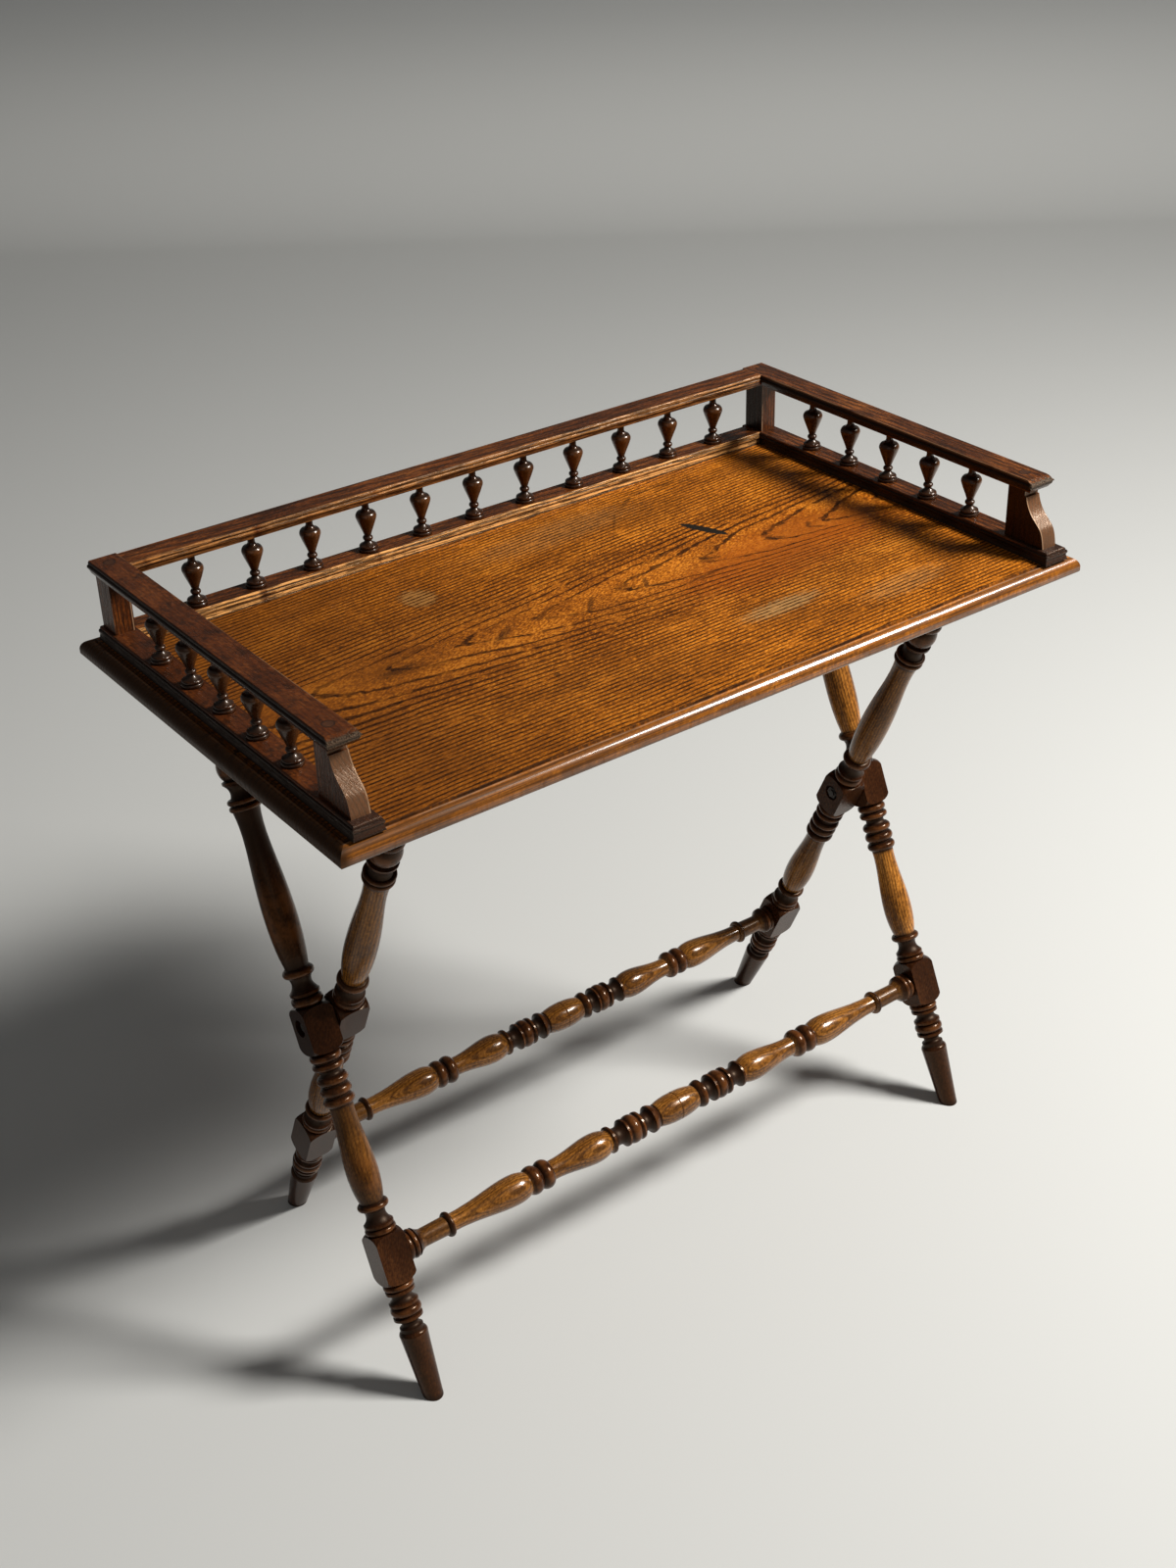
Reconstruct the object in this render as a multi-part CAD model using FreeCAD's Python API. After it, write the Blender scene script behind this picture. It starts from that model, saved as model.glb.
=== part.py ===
"""Folding tray table: a galleried oak tray on two crossed, turned leg frames.

Millimetres, +Z up. X runs along the tray, -Y is the open front of the tray.
The origin is on the floor, under the centre of the tray.
"""
import FreeCAD, Part
import math
import os

# Tray board
tray_length = 900.0
tray_width = 504.0
board_thickness = 19.0
board_top_height = 730.0
edge_moulding_width = 12.5
edge_step_height = 1.6
edge_flat_height = 4.0
edge_lower_round = 3.0

# Gallery rails: the turned spindles stand between a bottom and a top rail
gallery_inset = 15.5
bottom_rail_width = 33.0
bottom_rail_height = 13.0
bottom_rail_front_inset = 4.6
top_rail_width = 34.4
top_rail_height = 13.0
top_rail_front_inset = 33.0
rail_end_bevel = 7.4
rail_end_drop = 4.2
rail_end_undercut = 1.4
gallery_gap = 58.0
# Half sections as (share of half the width, share of the height), from the bottom up
top_rail_shares = {
    "foot": (0.80, 0.0), "cove": (0.86, 0.20), "cove_end": (0.93, 0.40),
    "bead_start": (0.955, 0.42), "bead": (1.0, 0.56), "bead_end": (0.955, 0.70),
    "quirk": (0.90, 0.72), "round": (0.885, 0.90), "top": (0.83, 1.0)}
bottom_rail_shares = {
    "foot": (1.0, 0.0), "cove": (0.935, 0.22), "cove_end": (0.90, 0.46),
    "bead_start": (0.925, 0.48), "bead": (0.965, 0.63), "bead_end": (0.925, 0.78),
    "quirk": (0.86, 0.80), "round": (0.845, 0.92), "top": (0.78, 1.0)}

# Spindles, posts and brackets of the gallery
spindle_radius = 11.3
spindle_tenon_radius = 3.0
spindle_tenon_length = 5.0
back_spindle_count = 11
back_spindle_left_gap = 74.3
back_spindle_right_gap = 64.3
back_screw_bays = 2
side_spindle_count = 5
side_spindle_front_gap = 60.8
side_spindle_back_gap = 77.3
post_width = 21.0
post_depth = 28.0
post_setback = 2.0
bracket_thickness = 19.5
bracket_foot_length = 53.0
bracket_head_length = 25.0
bracket_neck_length = 23.0
bracket_neck_height = 8.5
bracket_front_inset = 17.0
bracket_height_shares = (0.0, 0.20, 0.40, 0.54, 0.68, 0.86, 1.0)
bracket_reach_shares = (1.0, 0.93, 0.78, 0.52, 0.27, 0.08, 0.0)
# Spindle turning as (kind, height share of its end, radius shares), from the foot up
spindle_shares = (
    ("line", 0.0, 0.93), ("bead", 0.06, 0.90, 0.96), ("line", 0.062, 0.84),
    ("bead", 0.115, 0.80, 0.87), ("cove", 0.20, 0.45, 0.29), ("bead", 0.29, 0.31, 0.48),
    ("curve", 0.655, ((0.35, 0.54), (0.70, 0.80)), 0.99), ("curve", 0.755, ((0.45, 0.98),), 0.80),
    ("line", 0.765, 0.64), ("cove", 0.84, 0.42, 0.335), ("line", 1.0, 0.335))

# Plugs, screws and dowels of the tray
plug_radius = 6.0
plug_depth = 4.0
screw_radius = 2.2
screw_head_radius = 4.4
screw_head_height = 2.6
screw_tip_length = 6.0
rail_screw_length = 32.0
post_screw_length = 46.0
bottom_rail_screw_length = 28.0
bearer_screw_length = 18.0
dowel_radius = 3.0
dowel_length = 24.0
bottom_dowel_rise = 6.5
top_dowel_rise = 5.0
wood_clearance = 0.1

# Leg frames: two crossed frames that turn on one pair of pivot bolts
leg_lean_deg = 24.35
cross_height = 381.0
cross_setforward = 23.0
leg_frame_inset = 72.6
leg_block_side = 34.0
pivot_gap = 1.8
stretcher_drop = 258.8
lower_block_below = 28.0
lower_block_above = 27.0
cross_block_below = 30.0
cross_block_above = 20.0
top_block_length = 36.4
block_shoulder = 7.0
block_cove_share = 0.72

# Leg turning
leg_bead_radius = 16.6
leg_groove_radius = 12.6
leg_neck_radius = 10.6
leg_vase_radius = 16.8
foot_radius = 10.2
foot_top_radius = 15.2
foot_shoulder_length = 6.0
foot_collar_length = 4.0
foot_neck_radius = 9.2
lip_radius = 15.8
bead_length = 9.5
broad_bead_length = 11.0
small_bead_length = 7.0
thin_bead_length = 5.5
lip_length = 2.6
foot_neck_length = 10.0
lower_neck_length = 11.0
short_neck_length = 7.0
swept_neck_length = 16.0
quirk_length = 1.3
ball_length = 24.0
# A swept neck as (share of the length, share of the drop from lip to neck), from the lip
swept_neck_shares = ((0.16, 0.50), (0.38, 0.88), (0.66, 1.0))
# Vases as (share of the length, share of the vase radius) between their two ends
lower_vase_shares = ((0.0, 0.76), (0.12, 0.92), (0.30, 1.0), (0.60, 0.88), (0.88, 0.74), (1.0, 0.76))
upper_vase_shares = ((0.0, 0.74), (0.12, 0.91), (0.31, 1.0), (0.62, 0.87), (0.92, 0.75), (1.0, 0.84))

# Stretchers, turned alike on both sides of a scored centre barrel
stretcher_radius = 16.6
stretcher_tenon_radius = 8.0
stretcher_tenon_length = 20.0
# Turning as (kind, share of the half length at its end, radius shares), from the centre out
stretcher_shares = (
    ("line", 0.0, 0.96), ("line", 0.0025, 1.0), ("curve", 0.075, ((0.5, 0.96),), 0.80),
    ("line", 0.078, 0.74), ("cove", 0.098, 0.90, 0.97), ("line", 0.103, 0.96),
    ("cove", 0.142, 0.63, 0.96), ("line", 0.148, 0.97), ("line", 0.154, 0.84),
    ("bead", 0.190, 0.84, 1.0), ("line", 0.193, 0.82), ("line", 0.198, 0.96), ("line", 0.204, 0.96),
    ("cove", 0.252, 0.62, 0.93), ("line", 0.258, 0.93), ("line", 0.263, 0.78), ("line", 0.266, 0.76),
    ("curve", 0.478, ((0.10, 0.93), (0.24, 1.0), (0.60, 0.82), (0.88, 0.67)), 0.66),
    ("line", 0.481, 0.74), ("bead", 0.522, 0.74, 0.99), ("line", 0.524, 0.78),
    ("bead", 0.565, 0.78, 0.98), ("line", 0.567, 0.80),
    ("curve", 0.836, ((0.09, 0.96), (0.20, 1.0), (0.60, 0.76), (0.88, 0.61)), 0.60),
    ("bead", 0.855, 0.64, 0.84), ("line", 0.936, 0.61), ("cove", 0.960, 0.72, 0.93),
    ("line", 0.963, 0.82), ("bead", 0.980, 0.86, 0.97), ("bead", 1.0, 0.84, 0.94))

# Round rails at the leg tops, and the two bearers under the tray
rail_radius = 10.5
rail_drop = 18.0
rail_tenon_radius = 7.5
rail_tenon_length = 22.0
leg_top_clearance = 1.0
bearer_to_leg = 41.6
bearer_width = 26.0
bearer_lug_radius = 18.0
bearer_stop_length = 14.0
bearer_stop_depth = 24.0
bearer_screw_inset = 34.0
slide_clearance = 0.3
running_clearance = 0.08

# Pivot bolts, nuts and washers
bolt_radius = 4.0
bolt_head_radius = 7.6
bolt_head_height = 3.6
bolt_end_length = 1.5
bolt_dome_share = 0.8
bolt_crown_share = 0.5
counterbore_radius = 9.2
counterbore_depth = 6.0
nut_radius = 7.4
nut_height = 5.0
washer_radius = 12.0
washer_clearance = 0.2
nut_clearance = 0.2

overrun = 5.0

# Places worked out from the sizes above
half_length = tray_length / 2
half_width = tray_width / 2
underside = board_top_height - board_thickness
gallery_top_rail_base = board_top_height + bottom_rail_height + gallery_gap
side_rail_x = half_length - gallery_inset - top_rail_width / 2
back_rail_y = half_width - gallery_inset - top_rail_width / 2
spindle_base = board_top_height + bottom_rail_height
outer_leg_offset = half_length - leg_frame_inset
inner_leg_offset = outer_leg_offset - leg_block_side - pivot_gap
bearer_offset = inner_leg_offset - bearer_to_leg
post_front_y = half_width - gallery_inset - post_setback - post_depth
lean = math.radians(leg_lean_deg)
rail_height = underside - rail_drop
rail_reach = (rail_height - cross_height) * math.tan(lean)
leg_upper_length = (rail_height - cross_height) / math.cos(lean)
leg_lower_length = cross_height / math.cos(lean)
pivot_y = -cross_setforward
back_axis_y = pivot_y + rail_reach
front_axis_y = pivot_y - rail_reach
bracket_front_y = -half_width + bracket_front_inset
bracket_back_y = bracket_front_y + bracket_foot_length
X_AXIS = FreeCAD.Vector(1, 0, 0)
Y_AXIS = FreeCAD.Vector(0, 1, 0)
Z_AXIS = FreeCAD.Vector(0, 0, 1)
ORIGIN = FreeCAD.Vector(0, 0, 0)


def save(shape, node):
    """Write one sub-part, as one solid or as a group of separate ones."""
    shape.exportStep("parts/" + node + ".step")
    print(node, len(shape.Solids), shape.isValid(), round(shape.Volume))


def box(x0, x1, y0, y1, z0, z1):
    """A box between two corners."""
    return Part.makeBox(x1 - x0, y1 - y0, z1 - z0, FreeCAD.Vector(x0, y0, z0))


def rod(radius, start, end):
    """A round rod from one point to another."""
    path = end.sub(start)
    return Part.makeCylinder(radius, path.Length, start, path)


def across(radius, x0, x1, z):
    """A round rod along X at a height, in the middle of Y."""
    return rod(radius, FreeCAD.Vector(x0, 0, z), FreeCAD.Vector(x1, 0, z))


def moved(shape, x=0.0, y=0.0, z=0.0):
    """A copy shifted by x, y and z."""
    copy = shape.copy()
    copy.translate(FreeCAD.Vector(x, y, z))
    return copy


def mirrored_x(shape):
    """The same piece on the other side of the middle."""
    return shape.mirror(ORIGIN, X_AXIS)


def arc(first, middle, last):
    """An arc through three points."""
    return Part.Arc(first, middle, last).toShape()


def spline(points):
    """A smooth curve through the points."""
    curve = Part.BSplineCurve()
    curve.interpolate(points)
    return curve.toShape()


def prism(edges, direction):
    """A closed outline carried along a direction."""
    return Part.Face(Part.Wire(edges)).extrude(direction)


class Turning:
    """The outline of a turned piece, drawn from one end of its axis to the other.

    An outline point is a radius and a height on the axis, which is Z.
    """

    def __init__(self, height, radius):
        self.height = height
        self.start = FreeCAD.Vector(0, 0, height)
        self.here = FreeCAD.Vector(radius, 0, height)
        self.edges = []
        if radius > 0:
            self.edges.append(Part.makeLine(self.start, self.here))

    def to(self, length, radius):
        """A straight run, which may be a step outwards or inwards."""
        end = FreeCAD.Vector(radius, 0, self.height + length)
        if end.sub(self.here).Length > 0:
            self.edges.append(Part.makeLine(self.here, end))
        self.here = end
        self.height = end.z

    def bead(self, length, root, crown):
        """A half round that stands out to the crown, or dips to it."""
        self.to(0, root)
        middle = FreeCAD.Vector(crown, 0, self.height + length / 2)
        end = FreeCAD.Vector(root, 0, self.height + length)
        self.edges.append(arc(self.here, middle, end))
        self.here = end
        self.height = end.z

    def cove(self, length, waist, end_radius):
        """A hollow from the present radius to another, through a waist at the middle."""
        middle = FreeCAD.Vector(waist, 0, self.height + length / 2)
        end = FreeCAD.Vector(end_radius, 0, self.height + length)
        self.edges.append(arc(self.here, middle, end))
        self.here = end
        self.height = end.z

    def curve(self, length, radii, end_radius):
        """A smooth curve; radii holds (share of the length, radius) between the ends."""
        points = [self.here]
        points += [FreeCAD.Vector(r, 0, self.height + share * length) for share, r in radii]
        points.append(FreeCAD.Vector(end_radius, 0, self.height + length))
        self.edges.append(spline(points))
        self.here = points[-1]
        self.height = self.here.z

    def solid(self):
        """Turn the outline about its axis."""
        top = FreeCAD.Vector(0, 0, self.height)
        self.edges.append(Part.makeLine(self.here, top))
        self.edges.append(Part.makeLine(top, self.start))
        return Part.Face(Part.Wire(self.edges)).revolve(ORIGIN, Z_AXIS, 360)


def turn_from_shares(turning, rows, length, radius):
    """Draw a table of turning rows whose ends and radii are shares."""
    done = 0.0
    for kind, end, *radii in rows:
        step = (end - done) * length
        done = end
        if kind == "line":
            turning.to(step, radii[0] * radius)
        elif kind == "bead":
            turning.bead(step, radii[0] * radius, radii[1] * radius)
        elif kind == "cove":
            turning.cove(step, radii[0] * radius, radii[1] * radius)
        else:
            turning.curve(step, [(at, r * radius) for at, r in radii[0]], radii[1] * radius)


def wood_screw(length):
    """A countersunk screw; its head is up, its head's face is at the origin."""
    shape = Turning(-length, 0.0)
    shape.to(screw_tip_length, screw_radius)
    shape.to(length - screw_tip_length - screw_head_height, screw_radius)
    shape.to(screw_head_height, screw_head_radius)
    return shape.solid()


def screw_hole(length):
    """The room that a wood screw needs, open above its head."""
    shape = Turning(-length - wood_clearance, screw_radius + wood_clearance)
    shape.to(length - screw_head_height, screw_radius + wood_clearance)
    shape.to(screw_head_height + wood_clearance, screw_head_radius + wood_clearance)
    shape.to(overrun, screw_head_radius + wood_clearance)
    return shape.solid()


def upside_down(shape):
    """The same shape pointing the other way along Z."""
    copy = shape.copy()
    copy.rotate(ORIGIN, X_AXIS, 180)
    return copy


def row(count, first, last):
    """Places of evenly spaced pieces from the first to the last."""
    return [first + (last - first) * i / (count - 1) for i in range(count)]


def spindle_places():
    """The places of the spindles in each row, on the centre lines of the rails."""
    post_face = side_rail_x - post_width / 2
    back_row = row(back_spindle_count, -post_face + back_spindle_left_gap, post_face - back_spindle_right_gap)
    side_row = row(side_spindle_count, bracket_back_y + side_spindle_front_gap,
                   post_front_y - side_spindle_back_gap)
    return {
        "back": [(x, back_rail_y) for x in back_row],
        "left": [(-side_rail_x, y) for y in side_row],
        "right": [(side_rail_x, y) for y in side_row]}


def post_places():
    """Centre of each back post and of each bracket's neck, where the screws run."""
    post_y = post_front_y + post_depth / 2
    neck_y = bracket_back_y - bracket_neck_length / 2
    return [(side * side_rail_x, y) for side in (-1, 1) for y in (post_y, neck_y)]


def gallery_screw_places():
    """Where screws rise through the board into the bottom rails, between the spindles."""
    spindles = spindle_places()
    back = [x for x, y in spindles["back"]]
    left = (back[back_screw_bays] + back[back_screw_bays + 1]) / 2
    right = (back[-back_screw_bays - 1] + back[-back_screw_bays - 2]) / 2
    side = [y for x, y in spindles["left"]]
    middle = (side[len(side) // 2] + side[len(side) // 2 + 1]) / 2
    return [(left, back_rail_y), (right, back_rail_y), (-side_rail_x, middle), (side_rail_x, middle)]


def board_edge_outline(reach, span):
    """Half-thickness outline of the board across one direction, carried along the other."""
    low = underside
    thumb_top = board_top_height - edge_step_height
    thumb_low = low + edge_lower_round + edge_flat_height
    bend = math.sqrt(2) / 2
    round_over = edge_lower_round * (1 - bend)
    points = {}
    for side in (-1, 1):
        edge = side * reach
        inner = side * (reach - edge_moulding_width)
        points[side] = [
            FreeCAD.Vector(0, side * (reach - edge_lower_round), low),
            FreeCAD.Vector(0, side * (reach - round_over), low + round_over),
            FreeCAD.Vector(0, edge, low + edge_lower_round),
            FreeCAD.Vector(0, edge, thumb_low),
            FreeCAD.Vector(0, inner + side * edge_moulding_width * bend,
                           thumb_low + (thumb_top - thumb_low) * bend),
            FreeCAD.Vector(0, inner, thumb_top),
            FreeCAD.Vector(0, inner, board_top_height)]
    edges = []
    for side in (-1, 1):
        p = points[side]
        edges += [arc(p[0], p[1], p[2]), Part.makeLine(p[2], p[3])]
        edges += [arc(p[3], p[4], p[5]), Part.makeLine(p[5], p[6])]
    edges.append(Part.makeLine(points[-1][6], points[1][6]))
    edges.append(Part.makeLine(points[1][0], points[-1][0]))
    solid = prism(Part.__sortEdges__(edges), X_AXIS * (2 * span))
    return moved(solid, x=-span)


def tray_board():
    """The board: thumb-moulded on all four edges, bored for the screws."""
    long_edges = board_edge_outline(half_width, half_length + overrun)
    short_edges = board_edge_outline(half_length, half_width + overrun)
    short_edges.rotate(ORIGIN, Z_AXIS, 90)
    board = long_edges.common(short_edges)
    return board.cut(Part.makeCompound(gallery_screw_holes() + bearer_screw_holes()))


def rail_section(shares, width, height):
    """The moulded section of a gallery rail, across X, standing on zero."""
    def point(name, side):
        out, up = shares[name]
        return FreeCAD.Vector(side * out * width / 2, 0, up * height)
    edges = []
    for side in (-1, 1):
        edges.append(arc(point("foot", side), point("cove", side), point("cove_end", side)))
        edges.append(Part.makeLine(point("cove_end", side), point("bead_start", side)))
        edges.append(arc(point("bead_start", side), point("bead", side), point("bead_end", side)))
        edges.append(Part.makeLine(point("bead_end", side), point("quirk", side)))
        edges.append(arc(point("quirk", side), point("round", side), point("top", side)))
    edges.append(Part.makeLine(point("top", -1), point("top", 1)))
    edges.append(Part.makeLine(point("foot", 1), point("foot", -1)))
    return Part.__sortEdges__(edges)


def spindle_sockets(base, row_name):
    """Holes for the spindles' tenons in one rail, both ways from its face."""
    radius = spindle_tenon_radius + wood_clearance
    depth = spindle_tenon_length + wood_clearance
    return [Part.makeCylinder(radius, 2 * depth, FreeCAD.Vector(x, y, base - depth))
            for x, y in spindle_places()[row_name]]


def rail_dowel(side, height):
    """The dowel across the joint of the back rail with a side rail."""
    joint = side * (side_rail_x - top_rail_width / 2)
    return rod(dowel_radius, FreeCAD.Vector(joint - dowel_length / 2, back_rail_y, height),
               FreeCAD.Vector(joint + dowel_length / 2, back_rail_y, height))


def rail_dowel_hole(side, height):
    """The hole for a rail dowel."""
    joint = side * (side_rail_x - top_rail_width / 2)
    half = dowel_length / 2 + wood_clearance
    return rod(dowel_radius + wood_clearance, FreeCAD.Vector(joint - half, back_rail_y, height),
               FreeCAD.Vector(joint + half, back_rail_y, height))


def dowel_heights():
    """Heights of the dowels in the bottom and the top rails."""
    return (board_top_height + bottom_dowel_rise, gallery_top_rail_base + top_dowel_rise)


def side_name(side):
    """The word for one side of the table."""
    return "left" if side < 0 else "right"


def bottom_side_rail(side):
    """A bottom rail at one end of the tray, with its moulding returned at the front."""
    section = rail_section(bottom_rail_shares, bottom_rail_width, bottom_rail_height)
    front = -half_width + bottom_rail_front_inset
    back = half_width - gallery_inset
    rail = moved(prism(section, Y_AXIS * (back - front)), side * side_rail_x, front, board_top_height)
    side_view = bottom_return_profile(front, back)
    rail = rail.common(moved(side_view, x=side * side_rail_x, z=board_top_height))
    holes = spindle_sockets(spindle_base, side_name(side)) + [rail_dowel_hole(side, dowel_heights()[0])]
    holes += gallery_screw_holes()
    return rail.cut(Part.makeCompound(holes))


def bottom_return_profile(front, back):
    """The side view of a bottom rail: the same moulding at its front end."""
    def point(name):
        out, up = bottom_rail_shares[name]
        inward = (1 - out) * bottom_rail_width / 2
        return FreeCAD.Vector(0, front + inward, up * bottom_rail_height)
    edges = [arc(point("foot"), point("cove"), point("cove_end")),
             Part.makeLine(point("cove_end"), point("bead_start")),
             arc(point("bead_start"), point("bead"), point("bead_end")),
             Part.makeLine(point("bead_end"), point("quirk")),
             arc(point("quirk"), point("round"), point("top"))]
    top = FreeCAD.Vector(0, back + overrun, bottom_rail_height)
    low = FreeCAD.Vector(0, back + overrun, 0)
    edges += [Part.makeLine(point("top"), top), Part.makeLine(top, low), Part.makeLine(low, point("foot"))]
    return moved(prism(edges, X_AXIS * (2 * bottom_rail_width)), x=-bottom_rail_width)


def top_return_profile(front, back):
    """The side view of a top rail: a bevelled nose over an undercut at its front end."""
    top = top_rail_height
    nose = top - rail_end_drop
    points = [FreeCAD.Vector(0, front + rail_end_undercut + rail_end_bevel / 2, 0),
              FreeCAD.Vector(0, front + rail_end_undercut, nose / 2),
              FreeCAD.Vector(0, front + rail_end_undercut, nose - rail_end_undercut),
              FreeCAD.Vector(0, front, nose - rail_end_undercut),
              FreeCAD.Vector(0, front, nose),
              FreeCAD.Vector(0, front + rail_end_bevel, top),
              FreeCAD.Vector(0, back + overrun, top),
              FreeCAD.Vector(0, back + overrun, 0)]
    edges = [Part.makeLine(a, b) for a, b in zip(points, points[1:] + points[:1])]
    return moved(prism(edges, X_AXIS * (2 * top_rail_width)), x=-top_rail_width)


def top_side_rail(side):
    """A top rail at one end of the tray; it runs through to the back."""
    front = -half_width + top_rail_front_inset
    back = half_width - gallery_inset
    section = rail_section(top_rail_shares, top_rail_width, top_rail_height)
    rail = moved(prism(section, Y_AXIS * (back - front)), y=front)
    rail = rail.common(top_return_profile(front, back))
    rail = moved(rail, side * side_rail_x, 0, gallery_top_rail_base)
    holes = spindle_sockets(gallery_top_rail_base, side_name(side))
    holes += [rail_dowel_hole(side, dowel_heights()[1])] + rail_screw_holes() + plug_holes()
    return rail.cut(Part.makeCompound(holes))


def back_rail(shares, width, height, base):
    """A rail along the back of the tray, its ends scribed to the side rails."""
    rail = prism(rail_section(shares, width, height), Y_AXIS * (2 * side_rail_x))
    rail.rotate(ORIGIN, Z_AXIS, -90)
    rail = moved(rail, -side_rail_x, back_rail_y, base)
    side_rail = prism(rail_section(shares, width, height), Y_AXIS * tray_width)
    side_rails = [moved(side_rail, side * side_rail_x, -half_width, base) for side in (-1, 1)]
    return rail.cut(Part.makeCompound(side_rails))


def bottom_back_rail():
    """The bottom rail along the back, bored for spindles, dowels and screws."""
    rail = back_rail(bottom_rail_shares, bottom_rail_width, bottom_rail_height, board_top_height)
    holes = spindle_sockets(spindle_base, "back") + gallery_screw_holes()
    holes += [rail_dowel_hole(side, dowel_heights()[0]) for side in (-1, 1)]
    return rail.cut(Part.makeCompound(holes))


def top_back_rail():
    """The top rail along the back, bored for spindles and dowels."""
    rail = back_rail(top_rail_shares, top_rail_width, top_rail_height, gallery_top_rail_base)
    holes = spindle_sockets(gallery_top_rail_base, "back")
    holes += [rail_dowel_hole(side, dowel_heights()[1]) for side in (-1, 1)]
    return rail.cut(Part.makeCompound(holes))


def gallery_spindle():
    """An urn-shaped spindle with a tenon at each end, standing on zero."""
    shape = Turning(-spindle_tenon_length, spindle_tenon_radius)
    shape.to(spindle_tenon_length, spindle_tenon_radius)
    turn_from_shares(shape, spindle_shares, gallery_gap, spindle_radius)
    shape.to(0, spindle_tenon_radius)
    shape.to(spindle_tenon_length, spindle_tenon_radius)
    return shape.solid()


def corner_post(side):
    """A plain post between the rails at a back corner."""
    centre = side * side_rail_x
    post = box(centre - post_width / 2, centre + post_width / 2, post_front_y, post_front_y + post_depth,
               spindle_base, gallery_top_rail_base)
    return post.cut(Part.makeCompound(gallery_screw_holes() + rail_screw_holes()))


def front_bracket(side):
    """The bracket at the open end of a side gallery: an ogee front under a short neck."""
    height = gallery_gap - bracket_neck_height
    head_front = bracket_back_y - bracket_head_length
    swing = head_front - bracket_front_y
    front = [FreeCAD.Vector(0, head_front - reach * swing, spindle_base + up * height)
             for up, reach in zip(bracket_height_shares, bracket_reach_shares)]
    neck_front = bracket_back_y - bracket_neck_length
    shoulder = spindle_base + height
    corners = [front[-1], FreeCAD.Vector(0, neck_front, shoulder),
               FreeCAD.Vector(0, neck_front, gallery_top_rail_base),
               FreeCAD.Vector(0, bracket_back_y, gallery_top_rail_base),
               FreeCAD.Vector(0, bracket_back_y, spindle_base), front[0]]
    edges = [spline(front)] + [Part.makeLine(a, b) for a, b in zip(corners, corners[1:])]
    bracket = moved(prism(edges, X_AXIS * bracket_thickness), side * side_rail_x - bracket_thickness / 2)
    return bracket.cut(Part.makeCompound(gallery_screw_holes() + rail_screw_holes()))


def plug_base():
    """Height of the lower face of the wooden plugs."""
    return gallery_top_rail_base + top_rail_height - plug_depth


def plug_holes():
    """Counterbores for the plugs in the top rails."""
    radius = plug_radius + wood_clearance
    return [Part.makeCylinder(radius, plug_depth + overrun, FreeCAD.Vector(x, y, plug_base()))
            for x, y in post_places()]


def rail_screw_holes():
    """Holes of the screws that run down through the top rails."""
    return [moved(screw_hole(rail_screw_length), x, y, plug_base()) for x, y in post_places()]


def gallery_screw_holes():
    """Holes of the screws that run up through the board."""
    holes = [moved(upside_down(screw_hole(post_screw_length)), x, y, underside) for x, y in post_places()]
    short = upside_down(screw_hole(bottom_rail_screw_length))
    return holes + [moved(short, x, y, underside) for x, y in gallery_screw_places()]


def bearer_screw_places():
    """Three screws along each bearer."""
    first = front_axis_y + bearer_screw_inset
    last = back_axis_y - bearer_screw_inset
    rows = (first, (first + last) / 2, last)
    return [(side * bearer_offset, y) for side in (-1, 1) for y in rows]


def bearer_plate():
    """Thickness of the stretch of a bearer that slides on the front rail."""
    return rail_drop - rail_radius - slide_clearance


def bearer_screw_head():
    """Height of the heads of the bearer screws, in the lower face of the bearers."""
    return underside - bearer_plate()


def bearer_screw_holes():
    """Holes of the screws that run up through the bearers."""
    hole = upside_down(screw_hole(bearer_screw_length))
    return [moved(hole, x, y, bearer_screw_head()) for x, y in bearer_screw_places()]


def bearer(side):
    """A bearer: it turns on the back rail, and a stop at its front holds the front rail."""
    centre = side * bearer_offset
    x0 = centre - bearer_width / 2
    x1 = centre + bearer_width / 2
    stop = front_axis_y - rail_radius - slide_clearance
    shape = box(x0, x1, stop - bearer_stop_length, back_axis_y + bearer_lug_radius,
                underside - bearer_plate(), underside)
    shape = shape.fuse(box(x0, x1, stop - bearer_stop_length, stop, underside - bearer_stop_depth, underside))
    shape = shape.fuse(box(x0, x1, back_axis_y - bearer_lug_radius, back_axis_y + bearer_lug_radius,
                           rail_height, underside))
    shape = shape.fuse(rod(bearer_lug_radius, FreeCAD.Vector(x0, back_axis_y, rail_height),
                           FreeCAD.Vector(x1, back_axis_y, rail_height)))
    bore = rod(rail_radius + running_clearance, FreeCAD.Vector(x0 - overrun, back_axis_y, rail_height),
               FreeCAD.Vector(x1 + overrun, back_axis_y, rail_height))
    return shape.cut(Part.makeCompound([bore] + bearer_screw_holes())).removeSplitter()


def block(low, high):
    """A square block of a leg between two heights, its corners turned off at both ends."""
    half = leg_block_side / 2
    corner = half * math.sqrt(2) + overrun
    square = box(-half, half, -half, half, low, high)
    shape = Turning(low, half)
    shape.cove(block_shoulder, half + block_shoulder * block_cove_share, half + block_shoulder)
    shape.to(0, corner)
    shape.to(high - low - 2 * block_shoulder, corner)
    shape.to(0, half + block_shoulder)
    shape.cove(block_shoulder, half + block_shoulder * block_cove_share, half)
    return square.common(shape.solid())


def vase(shape, length, shares):
    """A long swelling between beads."""
    radii = [(at, r * leg_vase_radius) for at, r in shares]
    shape.to(0, radii[0][1])
    shape.curve(length, radii[1:-1], radii[-1][1])


def beads(shape, lengths, last_quirk=True):
    """A run of beads with a narrow quirk between them."""
    for i, length in enumerate(lengths):
        shape.bead(length, leg_groove_radius, leg_bead_radius)
        if last_quirk or i < len(lengths) - 1:
            shape.to(quirk_length, leg_groove_radius)


def lip(shape):
    """The sharp rim where a swept neck ends."""
    shape.to(0, lip_radius)
    shape.to(lip_length, lip_radius)


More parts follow.
